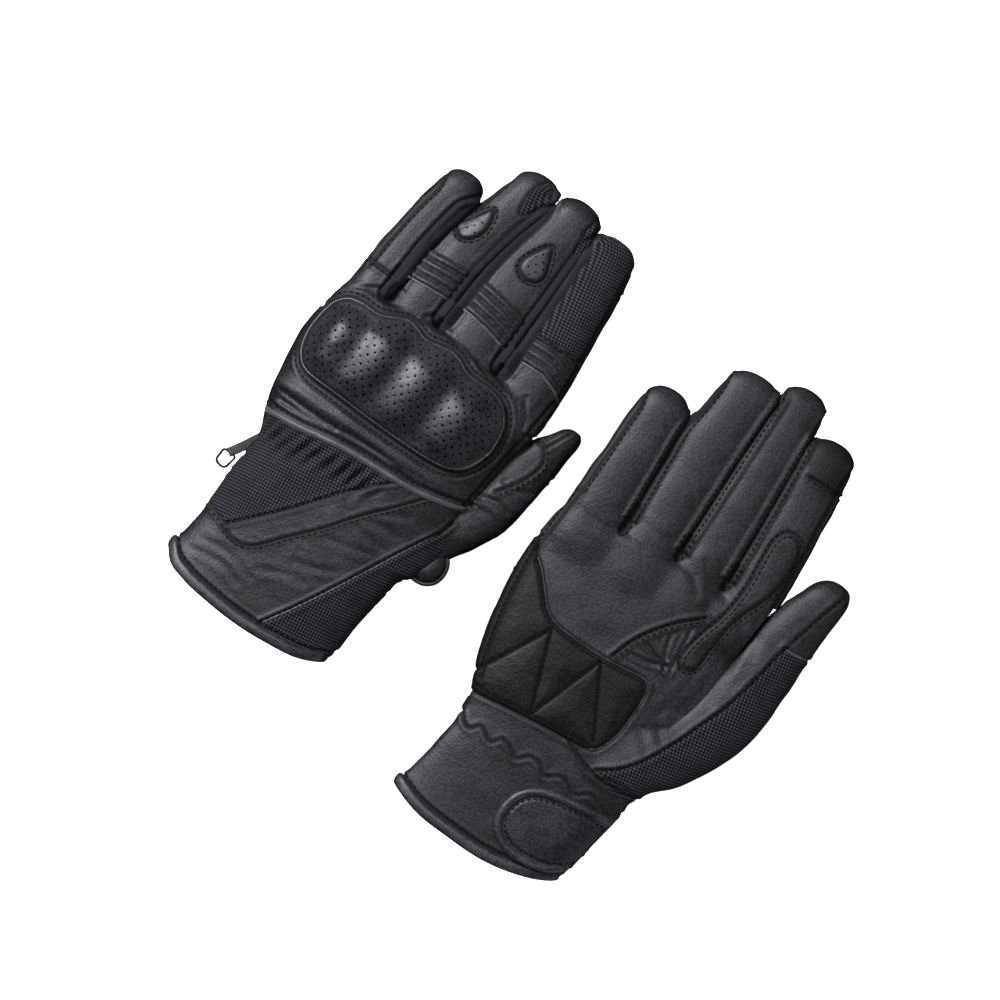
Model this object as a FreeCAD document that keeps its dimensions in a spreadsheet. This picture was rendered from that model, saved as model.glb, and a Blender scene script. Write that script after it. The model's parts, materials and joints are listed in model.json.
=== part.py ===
"""A pair of short-cuff leather and mesh riding gloves, one palm down and one palm up.

Each glove is modelled in a frame of its own: +Y runs from the cuff to the fingertips, the palm
faces -Z, and a left glove's thumb is on the +X side.  The right glove is the same design with X
mirrored; its frame is turned half a turn about Y, so that it lies beside the left one palm up.
Each finger is a chain of two soft tubes hinged at the skin of the palm, so that it can only curl.
"""
import FreeCAD, Part
import math
import os
import Sketcher
from FreeCAD import Placement, Rotation, Vector

FRONT = Vector(0, 1, 0)
UP = Vector(0, 0, 1)

DIGITS = ("thumb", "index", "middle", "ring", "little")
FINGERS = ("index", "middle", "ring", "little")

# Driving dimensions of the design, in millimetres and degrees.
SIZES = {
    # levels above the surface that a palm-down glove lies on
    "palm_level": 2.2,
    "cuff_level": 3.9,
    "back_level": 30.0,
    "rim_level": 26.5,
    "total_height": 34.0,
    # stations along the hand
    "hem_station": -6.0,
    "binding_length": 5.0,
    "cuff_station": 30.0,
    "wrist_station": 64.0,
    "thumb_station": 101.0,
    "knuckle_station": 130.0,
    "rim_station": 162.0,
    # widths there
    "hem_width": 96.0,
    "cuff_width": 97.0,
    "wrist_width": 100.0,
    "thumb_width": 137.0,
    "ball_width": 113.5,
    "knuckle_width": 116.5,
    "rim_width": 115.5,
    # where the middle of each width is, towards the thumb
    "hem_middle": 2.0,
    "cuff_middle": 3.5,
    "wrist_middle": 7.0,
    "thumb_middle": 15.2,
    "ball_middle": 3.4,
    "knuckle_middle": 1.7,
    "rim_middle": 4.9,
    # soft shell
    "shell_wall": 1.8,
    "shell_corner": 11.0,
    "gusset_start": 44.0,
    # digits
    "digit_wall": 1.6,
    "digit_corner": 8.6,
    "tip_round": 7.0,
    "digit_gap": 0.7,
    "thumb_wide": 23.0,
    "index_wide": 23.5,
    "middle_wide": 23.5,
    "ring_wide": 21.5,
    "little_wide": 20.0,
    "thumb_high": 20.0,
    "index_high": 20.5,
    "middle_high": 20.5,
    "ring_high": 20.5,
    "little_high": 19.0,
    # covers and pads
    "guard_thick": 4.0,
    "guard_skin": 1.6,
    "pad_thick": 1.4,
    "heel_thick": 2.2,
    "piping_length": 96.0,
    "piping_width": 3.5,
    "piping_height": 1.6,
    # strap and its hook-and-loop closure
    "strap_reach": 48.0,
    "strap_wide": 38.0,
    "strap_thick": 2.4,
    "strap_middle": 20.0,
    "strap_hinge": 54.5,
    "patch_length": 30.0,
    "patch_wide": 26.0,
    "patch_thick": 0.6,
    # wire ring and its tab
    "wire_thick": 1.2,
    "loop_length": 9.5,
    "loop_wide": 8.5,
    "tab_length": 17.0,
    "tab_wide": 3.5,
    "tab_thick": 1.2,
}

# How each glove lies: where its frame is, how far its hand leans from its cuff, and where the
# wire ring has fallen.
LIE = {
    "left": {"lie_x": -94.7, "lie_y": -106.9, "lie_turn": -2.5, "hand_lean": 0.0,
             "wire_x": -50.6, "wire_y": 52.5, "tab_lean": -16.0},
    "right": {"lie_x": 59.8, "lie_y": -134.9, "lie_turn": 2.5, "hand_lean": 6.0,
              "wire_x": -32.0, "wire_y": 52.5, "tab_lean": 8.0},
}

# Each digit at rest: place of its root hinge, lean towards the thumb, and lengths of its tubes.
REST = {
    "left": {
        "thumb": {"x": 72.6, "y": 102.5, "lean": 3.5, "base": 27.0, "tip": 31.0},
        "index": {"x": 49.8, "y": 178.0, "lean": -7.4, "base": 33.0, "tip": 39.0},
        "middle": {"x": 14.0, "y": 178.0, "lean": 3.3, "base": 35.0, "tip": 41.0},
        "ring": {"x": -20.2, "y": 178.0, "lean": 11.3, "base": 35.0, "tip": 41.0},
        "little": {"x": -43.2, "y": 178.0, "lean": 5.6, "base": 27.0, "tip": 26.3},
    },
    "right": {
        "thumb": {"x": 79.6, "y": 102.5, "lean": 3.3, "base": 42.0, "tip": 48.0},
        "index": {"x": 54.4, "y": 178.0, "lean": -3.8, "base": 34.0, "tip": 38.6},
        "middle": {"x": 26.0, "y": 178.0, "lean": 0.4, "base": 40.0, "tip": 47.4},
        "ring": {"x": -0.8, "y": 178.0, "lean": 1.2, "base": 38.0, "tip": 42.5},
        "little": {"x": -30.6, "y": 178.0, "lean": 0.4, "base": 27.0, "tip": 26.0},
    },
}

doc = FreeCAD.newDocument("riding_gloves")
sheet = doc.addObject("Spreadsheet::Sheet", "sizes")


class Length:
    """A size from the sheet, or one worked out from such sizes, kept with its expression."""

    def __init__(self, value, text=None):
        self.value = value
        self.text = text if text else repr(value)

    def combine(self, other, sign, value):
        return Length(value, f"({self.text} {sign} {other.text})")

    def __add__(self, other):
        other = as_length(other)
        return self.combine(other, "+", self.value + other.value)

    def __sub__(self, other):
        other = as_length(other)
        return self.combine(other, "-", self.value - other.value)

    def __mul__(self, other):
        other = as_length(other)
        return self.combine(other, "*", self.value * other.value)

    def __truediv__(self, other):
        other = as_length(other)
        return self.combine(other, "/", self.value / other.value)

    def __neg__(self):
        return as_length(0.0) - self


def as_length(value):
    """A Length as it is, or a plain number made into one."""
    return value if isinstance(value, Length) else Length(float(value))


def fill_sheet():
    """Write every driving dimension to a cell of its own, and return them by alias."""
    cells = dict(SIZES)
    for glove, places in LIE.items():
        cells.update({f"{glove}_{name}": value for name, value in places.items()})
    for glove, digits in REST.items():
        for digit, places in digits.items():
            cells.update({f"{glove}_{digit}_{name}": value for name, value in places.items()})
    lengths = {}
    for row, (alias, value) in enumerate(cells.items(), start=1):
        sheet.set(f"A{row}", alias.replace("_", " "))
        sheet.set(f"B{row}", str(value))
        sheet.setAlias(f"B{row}", alias)
        lengths[alias] = Length(value, f"sizes.{alias}")
    doc.recompute()
    return lengths


size = fill_sheet()
subparts = {}


# ---------------------------------------------------------------- sketches and features

def make_body(label):
    body = doc.addObject("PartDesign::Body", label)
    body.Label = label
    subparts[label] = body
    return body


def make_sketch(body, role, shift_x, shift_y, lift):
    """An empty sketch on one of the body's own planes, shifted within it and lifted off it."""
    plane = next(feature for feature in body.Origin.OriginFeatures if feature.Role == role)
    sketch = body.newObject("Sketcher::SketchObject", f"{body.Name}_sketch")
    sketch.AttachmentSupport = (plane, "")
    sketch.MapMode = "FlatFace"
    for axis, distance in zip("xyz", (shift_x, shift_y, lift)):
        sketch.setExpression(f"AttachmentOffset.Base.{axis}", as_length(distance).text)
    return sketch


def name_datum(sketch, constraint, name, length):
    index = sketch.addConstraint(constraint)
    sketch.renameConstraint(index, name)
    sketch.setExpression(f"Constraints.{name}", length.text)


def add_rounded_rectangle(sketch, width, height, corner):
    """Four lines and four tangent arcs, centred on the sketch's origin."""
    half_x = width.value / 2
    half_y = height.value / 2
    radius = corner.value
    centres = [(half_x - radius, radius - half_y), (half_x - radius, half_y - radius),
               (radius - half_x, half_y - radius), (radius - half_x, radius - half_y)]
    arcs = []
    for quarter, (x, y) in enumerate(centres):
        start = (quarter - 1) * math.pi / 2
        circle = Part.Circle(Vector(x, y, 0), UP, radius)
        arcs.append(sketch.addGeometry(Part.ArcOfCircle(circle, start, start + math.pi / 2)))
    lines = []
    for quarter in range(4):
        following = (quarter + 1) % 4
        start = sketch.Geometry[arcs[quarter]].EndPoint
        end = sketch.Geometry[arcs[following]].StartPoint
        lines.append(sketch.addGeometry(Part.LineSegment(start, end)))
        sketch.addConstraint(Sketcher.Constraint("Tangent", arcs[quarter], 2, lines[-1], 1))
        sketch.addConstraint(Sketcher.Constraint("Tangent", lines[-1], 2, arcs[following], 1))
    for quarter, direction in enumerate(("Vertical", "Horizontal")):
        sketch.addConstraint(Sketcher.Constraint(direction, lines[quarter]))
        sketch.addConstraint(Sketcher.Constraint(direction, lines[quarter + 2]))
    for other in arcs[1:]:
        sketch.addConstraint(Sketcher.Constraint("Equal", arcs[0], other))
    sketch.addConstraint(Sketcher.Constraint("Symmetric", arcs[0], 3, arcs[2], 3, -1, 1))
    name_datum(sketch, Sketcher.Constraint("Distance", lines[2], 1, lines[0], width.value),
               "width", width)
    name_datum(sketch, Sketcher.Constraint("Distance", lines[3], 1, lines[1], height.value),
               "height", height)
    name_datum(sketch, Sketcher.Constraint("Radius", arcs[0], radius), "corner", corner)


def add_rounded_outline(sketch, points, radii):
    """A closed outline of straight runs, with an arc of the given radius at each point."""
    count = len(points)
    corners = []
    for place, point in enumerate(points):
        here = Vector(point[0], point[1], 0)
        back = (Vector(*points[place - 1], 0) - here).normalize()
        ahead = (Vector(*points[(place + 1) % count], 0) - here).normalize()
        half_angle = back.getAngle(ahead) / 2
        run = radii[place] / math.tan(half_angle)
        depth = radii[place] / math.sin(half_angle) - radii[place]
        middle = here + (back + ahead).normalize() * depth
        corners.append((here + back * run, middle, here + ahead * run))
    for place, (start, middle, end) in enumerate(corners):
        arc = Part.Arc(start, middle, end)
        sketch.addGeometry(arc)
        sketch.addGeometry(Part.LineSegment(end, corners[(place + 1) % count][0]))


def section(body, station, middle, bottom, top, width, corner):
    """A rounded rectangle across the hand at a station, used by the lofts and tubes."""
    sketch = make_sketch(body, "XZ_Plane", middle, (bottom + top) / 2, -as_length(station))
    add_rounded_rectangle(sketch, width, top - bottom, corner)
    return sketch


def pad(body, sketch, length, reversed_way=False):
    feature = body.newObject("PartDesign::Pad", f"{body.Name}_pad")
    feature.Profile = sketch
    feature.Reversed = reversed_way
    feature.setExpression("Length", as_length(length).text)
    doc.recompute()
    return feature


def pocket(body, sketch, length, reversed_way=False):
    """A pocket that has to take material away."""
    before = body.Shape.Volume
    feature = body.newObject("PartDesign::Pocket", f"{body.Name}_pocket")
    feature.Profile = sketch
    feature.Reversed = reversed_way
    feature.setExpression("Length", as_length(length).text)
    doc.recompute()
    if body.Shape.Volume > before - 1e-6:
        raise RuntimeError(f"{body.Label}: a pocket cuts nothing")
    return feature


def loft(body, kind, sketches):
    feature = body.newObject(f"PartDesign::{kind}Loft", f"{body.Name}_{kind.lower()}_loft")
    feature.Profile = sketches[0]
    feature.Sections = sketches[1:]
    feature.Ruled = True
    doc.recompute()
    return feature


def round_edges(body, feature, radius, wanted):
    """Fillet every edge of a feature that the test `wanted` picks."""
    names = [f"Edge{number}" for number, edge in enumerate(feature.Shape.Edges, start=1) if wanted(edge)]
    fillet = body.newObject("PartDesign::Fillet", f"{body.Name}_fillet")
    fillet.Base = (feature, names)
    fillet.setExpression("Radius", as_length(radius).text)
    doc.recompute()
    return fillet


def lies_across(edge, station):
    """Whether a whole edge lies in the plane across the hand at a station."""
    box = edge.BoundBox
    return abs(box.YMin - station) < 1e-4 and abs(box.YMax - station) < 1e-4


def lies_at_level(edge, level):
    box = edge.BoundBox
    return abs(box.ZMin - level) < 1e-4 and abs(box.ZMax - level) < 1e-4


# ---------------------------------------------------------------- hand and cuff

def shell_stations(glove, hand):
    """The sections of the whole sleeve, from hem to finger roots, as (station, middle, bottom,
    top, width), in two runs: up to the mouth of the thumb, and on past it."""
    lean = size[f"{glove}_hand_lean"]
    back = size["back_level"]
    palm = size["palm_level"]
    cuff = size["cuff_level"]

    def place(name, bottom, top, leaning, station=None):
        middle = size[f"{name}_middle"]
        if leaning:
            middle = middle + lean
        return (size[f"{station or name}_station"], middle * hand, bottom, top, size[f"{name}_width"])

    sleeve = [place("hem", cuff, back, False), place("cuff", cuff, back, False),
              place("wrist", cuff, back, True)]
    ball = [place("wrist", palm, back, True), place("thumb", palm, back, True)]
    front = [place("ball", palm, back, True, "thumb"), place("knuckle", palm, back, True),
             place("rim", palm, size["rim_level"], True)]
    return sleeve, ball, front


def loft_shell(body, runs):
    """A hollow sleeve through one or more runs of sections, open at both ends."""
    wall = size["shell_wall"]
    corner = size["shell_corner"]
    for run in runs:
        loft(body, "Additive", [section(body, station, middle, bottom, top, width, corner)
                                for station, middle, bottom, top, width in run])
    for run in runs:
        inner = [section(body, station, middle, bottom + wall, top - wall, width - wall * 2, corner - wall)
                 for station, middle, bottom, top, width in run]
        loft(body, "Subtractive", inner)


def cut_away(body, across, levels):
    """Remove everything between two places across the hand and two levels, over its length."""
    margin = 20
    start = size["hem_station"] - margin
    sketch = make_sketch(body, "XZ_Plane", 0, 0, -start)
    corners = [Vector(across[0], levels[0], 0), Vector(across[1], levels[0], 0),
               Vector(across[1], levels[1], 0), Vector(across[0], levels[1], 0)]
    for place, corner in enumerate(corners):
        sketch.addGeometry(Part.LineSegment(corners[place - 1], corner))
    pocket(body, sketch, size["rim_station"] - start + margin)


def make_hand_shells(glove, hand):
    """Back and palm halves of the hand, and back, palm and thumb-side panels of the cuff."""
    sleeve, ball, front = shell_stations(glove, hand)
    far = 150
    seam = (SIZES["palm_level"] + SIZES["back_level"]) / 2
    whole = (-far, far)
    below = (-far, seam)
    above = (seam, far)
    gusset_side = sorted((SIZES["gusset_start"] * hand, far * hand))
    other_side = sorted((SIZES["gusset_start"] * hand, -far * hand))
    panels = {
        "hand_back": ((ball, front), ((whole, below),)),
        "hand_palm": ((ball, front), ((whole, above),)),
        "cuff_back": ((sleeve,), ((whole, below), (gusset_side, whole))),
        "cuff_palm": ((sleeve,), ((whole, above), (gusset_side, whole))),
        "cuff_gusset": ((sleeve,), ((other_side, whole),)),
    }
    for name, (runs, cuts) in panels.items():
        body = make_body(f"{glove}_{name}")
        loft_shell(body, runs)
        for across, levels in cuts:
            cut_away(body, across, levels)


def make_cuff_binding(glove, hand):
    """The rolled band sewn over the hem, a little thicker than the cuff that it closes."""
    body = make_body(f"{glove}_cuff_binding")
    proud = 0.6
    wall = size["shell_wall"]
    station, middle, bottom, top, width = shell_stations(glove, hand)[0][0]
    corner = size["shell_corner"]
    outer = section(body, station, middle, bottom - proud, top + proud, width + 2 * proud, corner + proud)
    pad(body, outer, size["binding_length"])
    inner = section(body, station, middle, bottom + wall, top - wall, width - wall * 2, corner - wall)
    pocket(body, inner, size["binding_length"] + 1, reversed_way=True)


def finger_start(glove, finger):
    """How far along its own line a finger's fixed root begins, clear of the rim of the hand."""
    rest = REST[glove][finger]
    lean = math.radians(abs(rest["lean"]))
    half_width = SIZES[f"{finger}_wide"] / 2
    clear = 0.4 + half_width * math.sin(lean)
    return (SIZES["rim_station"] + clear - rest["y"]) / math.cos(lean)


def make_tube(label, digit, start, length):
    """An open soft tube in a digit's own frame, from a place along it."""
    body = doc.addObject("PartDesign::Body", label)
    wall = size["digit_wall"]
    wide = size[f"{digit}_wide"]
    high = size[f"{digit}_high"]
    corner = size["digit_corner"]
    skin = as_length(0.3)
    outer = section(body, start, as_length(0), skin, skin + high, wide, corner)
    pad(body, outer, length, reversed_way=True)
    inner = section(body, start - 1, as_length(0), skin + wall, skin + high - wall, wide - wall * 2,
                    corner - wall)
    pocket(body, inner, length + 2)
    return body


def digit_frame(glove, digit, hand):
    """Frame of a digit at its root hinge: just under the palm skin, +Y along the digit."""
    rest = REST[glove][digit]
    place = Vector(rest["x"] * hand, rest["y"], SIZES["palm_level"] - 0.3)
    return Placement(place, Rotation(UP, -rest["lean"] * hand))


def tip_frame(glove, digit, hand):
    """Frame of a digit's tip at its second hinge."""
    along = Vector(0, REST[glove][digit]["base"], 0)
    return digit_frame(glove, digit, hand).multiply(Placement(along, Rotation()))


def make_fourchettes(glove, hand):
    """The fixed roots of the four fingers: soft tubes from the crotches to the hinges."""
    tubes = []
    for finger in FINGERS:
        start = as_length(finger_start(glove, finger))
        tube = make_tube(f"{glove}_{finger}_root", finger, start, -size["digit_gap"] / 2 - start)
        tube.Placement = digit_frame(glove, finger, hand)
        tubes.append(tube)
    group = doc.addObject("Part::Compound", f"{glove}_fourchettes")
    group.Links = tubes
    group.Label = f"{glove}_fourchettes"
    subparts[group.Label] = group
    doc.recompute()


def make_digit(glove, digit, hand):
    """The two moving tubes of a digit: an open base and a closed, rounded tip."""
    gap = size["digit_gap"]
    base_length = size[f"{glove}_{digit}_base"]
    base = make_tube(f"{glove}_{digit}_base", digit, gap / 2, base_length - gap)
    base.Label = f"{glove}_{digit}_base"
    subparts[base.Label] = base
    base.Placement = digit_frame(glove, digit, hand)

    tip = make_body(f"{glove}_{digit}_tip")
    wall = size["digit_wall"]
    wide = size[f"{digit}_wide"]
    high = size[f"{digit}_high"]
    corner = size["digit_corner"]
    tip_length = size[f"{glove}_{digit}_tip"]
    skin = as_length(0.3)
    outer = section(tip, gap / 2, as_length(0), skin, skin + high, wide, corner)
    block = pad(tip, outer, tip_length - gap / 2, reversed_way=True)
    end = tip_length.value
    round_edges(tip, block, size["tip_round"], lambda edge: lies_across(edge, end))
    inner = section(tip, gap / 2 - 1, as_length(0), skin + wall, skin + high - wall, wide - wall * 2,
                    corner - wall)
    end_wall = size["tip_round"] * 0.6
    hollow = pocket(tip, inner, tip_length - gap / 2 - end_wall + 1)
    inner_end = (tip_length - end_wall).value
    round_edges(tip, hollow, size["tip_round"] * 0.5, lambda edge: lies_across(edge, inner_end))
    tip.Placement = tip_frame(glove, digit, hand)


# ---------------------------------------------------------------- covers and pads

def make_plate(label, points, radii, level, thick, hand, edge_round=None):
    """A flat piece with a rounded outline, from a level upwards, with its top edge rounded."""
    body = make_body(label)
    sketch = make_sketch(body, "XY_Plane", 0, 0, level)
    add_rounded_outline(sketch, [(x * hand, y) for x, y in points], radii)
    plate = pad(body, sketch, thick)
    if edge_round:
        top = as_length(level).value + as_length(thick).value
        round_edges(body, plate, edge_round, lambda edge: lies_at_level(edge, top))
    return body


def shrink(points, centre, share):
    """The same outline, drawn in towards a centre."""
    return [(centre[0] + (x - centre[0]) * share, centre[1] + (y - centre[1]) * share) for x, y in points]


def make_knuckle_guard(glove, hand):
    """Stiff perforated-leather guard with four knuckle domes along its front, over a foam block."""
    lean = LIE[glove]["hand_lean"]
    outline = [(-45, 107), (-50, 116), (-50, 141), (-40, 149), (-29, 147), (-16, 154.5), (-4, 151.5),
               (9, 155), (20, 150.5), (30, 151.5), (43, 148), (49, 136), (46, 113), (34, 107)]
    radii = [6, 8, 8, 6, 8, 6, 8, 6, 8, 6, 8, 10, 8, 10]
    outline = [(x + lean, y) for x, y in outline]
    centre = (lean, 130)
    level = size["back_level"]
    guard = make_plate(f"{glove}_knuckle_guard", outline, radii, level, size["guard_thick"], hand,
                       edge_round=size["guard_thick"] * 0.4)
    hollow = make_sketch(guard, "XY_Plane", 0, 0, level)
    inner = [(x * hand, y) for x, y in shrink(outline, centre, 0.88)]
    add_rounded_outline(hollow, inner, [radius * 0.8 for radius in radii])
    pocket(guard, hollow, size["guard_thick"] - size["guard_skin"], reversed_way=True)
    make_plate(f"{glove}_knuckle_foam", shrink(outline, centre, 0.87), [radius * 0.8 for radius in radii],
               level, size["guard_thick"] - size["guard_skin"], hand)


def make_palm_covers(glove, hand):
    """Heel pad and grip patch on the palm, whose lower faces are what the palm rests on."""
    lean = LIE[glove]["hand_lean"]
    heel = [(-42, 126), (-28, 108), (-18, 103.5), (26, 104), (29, 84), (22, 66), (-18, 66), (-44, 68),
            (-50, 100)]
    make_plate(f"{glove}_heel_pad", [(x + lean, y) for x, y in heel], [4, 10, 6, 6, 20, 8, 20, 6, 20],
               size["palm_level"] - size["heel_thick"], size["heel_thick"], hand)
    grip = [(36, 128), (37, 156), (56, 157), (55, 132), (44, 117)]
    make_plate(f"{glove}_grip_patch", [(x + lean, y) for x, y in grip], [4, 4, 4, 8, 6],
               size["palm_level"] - size["pad_thick"], size["pad_thick"], hand)


def make_wrist_piping(glove, hand):
    """Padded satin piping across the back of the wrist."""
    body = make_body(f"{glove}_wrist_piping")
    sketch = make_sketch(body, "XY_Plane", 0, 0, 0)
    add_rounded_rectangle(sketch, size["piping_length"], size["piping_width"], size["piping_width"] * 0.45)
    bar = pad(body, sketch, size["piping_height"])
    top = size["piping_height"].value
    round_edges(body, bar, size["piping_height"] * 0.6, lambda edge: lies_at_level(edge, top))
    middle = 4.0 + LIE[glove]["hand_lean"]
    turn = 9.0
    body.Placement = Placement(Vector(middle * hand, 88.5, SIZES["back_level"]), Rotation(UP, turn * hand))


def make_finger_pads(glove, hand):
    """Teardrop pads over the middle joints of the ring and middle fingers."""
    for finger, reach in (("ring", 13.0), ("middle", 14.0)):
        centre = REST[glove][finger]["base"]
        outline = [(-3, centre - 10), (3, centre - 10), (7, centre - 2), (3, centre + reach - 3),
                   (-3, centre + reach - 3), (-7, centre - 2)]
        level = size[f"{finger}_high"] + 0.7
        body = make_plate(f"{glove}_{finger}_finger_pad", outline, [2.5, 2.5, 5, 2.5, 2.5, 5], level,
                          size["pad_thick"], hand)
        body.Placement = digit_frame(glove, finger, hand)


def make_touch_tip(glove, hand):
    """Touch-sensitive patch on the palm side of the index fingertip."""
    reach = REST[glove]["index"]["tip"]
    outline = [(-7.5, reach - 20), (7.5, reach - 20), (7.5, reach - 8), (-7.5, reach - 8)]
    body = make_plate(f"{glove}_index_touch_tip", outline, [3, 3, 5, 5], as_length(0.3) - size["pad_thick"],
                      size["pad_thick"], hand)
    body.Placement = tip_frame(glove, "index", hand)


# ---------------------------------------------------------------- wrist strap and wire ring

def make_strap(glove, hand):
    """Rounded tab that closes the cuff across the palm side, with its hook patch, and the loop
    patch that the cuff carries under it."""
    reach = SIZES["strap_reach"]
    half = SIZES["strap_wide"] / 2
    outline = [(0, -half), (0, half), (-reach, half), (-reach, -half)]
    strap = make_plate(f"{glove}_strap", outline, [2, 2, 16, 16], 0, size["strap_thick"], hand,
                       edge_round=as_length(0.8))
    strap.Placement = strap_frame(hand)

    hook = make_body(f"{glove}_strap_hook_patch")
    length = size["patch_length"]
    wide = size["patch_wide"]
    sketch = make_sketch(hook, "XY_Plane", (size["patch_length"] / 2 - size["strap_reach"] + 6) * hand, 0,
                         size["strap_thick"])
    add_rounded_rectangle(sketch, length, wide, as_length(6.0))
    pad(hook, sketch, size["patch_thick"])
    hook.Placement = strap_frame(hand)

    loop = make_body(f"{glove}_cuff_loop_patch")
    middle = size["strap_hinge"] - size["strap_reach"] + length / 2 + 4
    sketch = make_sketch(loop, "XY_Plane", middle * hand, size["strap_middle"],
                         size["cuff_level"] - size["patch_thick"])
    add_rounded_rectangle(sketch, length + 4, wide + 4, as_length(6.0))
    pad(loop, sketch, size["patch_thick"])


def strap_frame(hand):
    """Frame of the strap at its hinge along the thumb side of the cuff."""
    return Placement(Vector((SIZES["strap_hinge"] - 0.7) * hand, SIZES["strap_middle"], 0.0), Rotation())


def ring_frame(glove, hand):
    """Frame of the wire ring at its hinge, lying flat on the surface under the glove."""
    place = LIE[glove]
    lift = 0.0 if hand > 0 else SIZES["total_height"] - SIZES["wire_thick"]
    return Placement(Vector(place["wire_x"] * hand, place["wire_y"], lift), Rotation())


def make_wire_ring(glove, hand):
    """Three-sided wire ring, and the tab from the wrist that holds it."""
    half = SIZES["loop_wide"] / 2
    reach = SIZES["loop_length"]
    wire = SIZES["wire_thick"]
    body = make_body(f"{glove}_wire_ring")
    sketch = make_sketch(body, "XY_Plane", 0, 0, 0)
    outer = [(-half, 0), (half, 0), (half * 0.7, -reach), (-half, -reach * 0.9)]
    inner = [(-half + wire, -wire), (half - wire, -wire), (half * 0.7 - wire, wire - reach),
             (wire - half, wire - reach * 0.9)]
    add_rounded_outline(sketch, [(x * hand, y) for x, y in outer], [2, 2, 3, 3])
    add_rounded_outline(sketch, [(x * hand, y) for x, y in inner], [0.8, 0.8, 1.8, 1.8])
    pad(body, sketch, size["wire_thick"])
    body.Placement = ring_frame(glove, hand)

    tab = make_body(f"{glove}_ring_tab")
    sketch = make_sketch(tab, "XY_Plane", 0, size["tab_length"] / 2, 0)
    add_rounded_rectangle(sketch, size["tab_wide"], size["tab_length"], as_length(0.8))
    pad(tab, sketch, size["tab_thick"])
    clear = Vector(0, wire / 2 + 0.9, 0)
    turned = Rotation(UP, LIE[glove]["tab_lean"] * hand)
    tab.Placement = Placement(ring_frame(glove, hand).Base + clear, turned)


# ---------------------------------------------------------------- the pair

def lie_frame(glove, hand):
    """Where a glove lies: palm down for the left, turned over for the right."""
    lie = LIE[glove]
    turned = Rotation(UP, lie["lie_turn"])
    if hand > 0:
        return Placement(Vector(lie["lie_x"], lie["lie_y"], 0), turned)
    over = Rotation(FRONT, 180)
    return Placement(Vector(lie["lie_x"], lie["lie_y"], SIZES["total_height"]), turned.multiply(over))


def make_glove(glove, hand):
    make_hand_shells(glove, hand)
    make_cuff_binding(glove, hand)
    make_fourchettes(glove, hand)
    for digit in DIGITS:
        make_digit(glove, digit, hand)
    make_knuckle_guard(glove, hand)
    make_palm_covers(glove, hand)
    make_wrist_piping(glove, hand)
    make_finger_pads(glove, hand)
    make_touch_tip(glove, hand)
    make_strap(glove, hand)
    make_wire_ring(glove, hand)


def lay_down():
    """Move each glove's finished pieces from its own frame to where the glove lies."""
    for label, subpart in subparts.items():
        glove = label.split("_")[0]
        frame = lie_frame(glove, HANDS[glove])
        subpart.Placement = frame.multiply(subpart.Placement)
    doc.recompute()


def check_and_export():
    """Stop on any failed object, then write one file for each sub-part."""
    doc.recompute()
    for item in doc.Objects:
        if "Invalid" in item.State or "Error" in item.State:
            raise RuntimeError(f"{item.Label}: {item.State}")
    for label, subpart in subparts.items():
        if subpart.Shape.isNull() or not subpart.Shape.isValid() or not subpart.Shape.Solids:
            raise RuntimeError(f"{label}: its shape is not a valid solid")
    os.makedirs("parts", exist_ok=True)
    for label, subpart in subparts.items():
        subpart.Shape.exportStep(f"parts/{label}.step")


HANDS = {"left": 1, "right": -1}
for glove_name, hand_sign in HANDS.items():
    make_glove(glove_name, hand_sign)
lay_down()
check_and_export()
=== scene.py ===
"""The looks of a pair of short-cuff riding gloves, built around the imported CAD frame.

All shapes are worked out in millimetres in each glove's own frame: +Y from the cuff to the
fingertips, +X towards the thumb, z from 0 at the palm to HEIGHT at the back of the hand.  The left
glove lies palm down, the right one palm up.  The back is measured on the left glove and the palm
on the right one; carry() takes each feature to the other glove.

A glove starts as a smooth skin, which is cut into the panels that it is sewn from.  relief() then
gives the panels their seams, folds, ribs and pads, and each panel becomes a shell with a lining.
"""
import json
import math

import bpy
import numpy as np
from mathutils import Matrix, Vector
from mathutils.bvhtree import BVHTree


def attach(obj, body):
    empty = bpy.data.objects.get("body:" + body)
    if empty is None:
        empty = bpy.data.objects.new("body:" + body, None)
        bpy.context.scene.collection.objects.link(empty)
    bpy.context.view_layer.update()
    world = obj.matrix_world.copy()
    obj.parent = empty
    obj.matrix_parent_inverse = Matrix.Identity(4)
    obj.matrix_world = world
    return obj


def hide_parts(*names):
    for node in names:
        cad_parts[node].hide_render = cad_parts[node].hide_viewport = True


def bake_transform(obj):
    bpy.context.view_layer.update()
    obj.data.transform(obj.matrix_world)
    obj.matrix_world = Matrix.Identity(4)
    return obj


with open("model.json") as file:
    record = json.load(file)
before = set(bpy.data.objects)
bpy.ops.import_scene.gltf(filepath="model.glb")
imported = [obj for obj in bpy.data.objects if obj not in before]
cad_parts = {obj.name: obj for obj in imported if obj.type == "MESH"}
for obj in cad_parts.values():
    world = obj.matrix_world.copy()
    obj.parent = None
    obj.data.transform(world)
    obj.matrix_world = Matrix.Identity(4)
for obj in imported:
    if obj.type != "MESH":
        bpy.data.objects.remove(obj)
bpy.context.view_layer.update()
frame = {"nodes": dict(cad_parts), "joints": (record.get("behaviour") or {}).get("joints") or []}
JOINTS = {joint["name"]: joint for joint in frame["joints"]}

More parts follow.
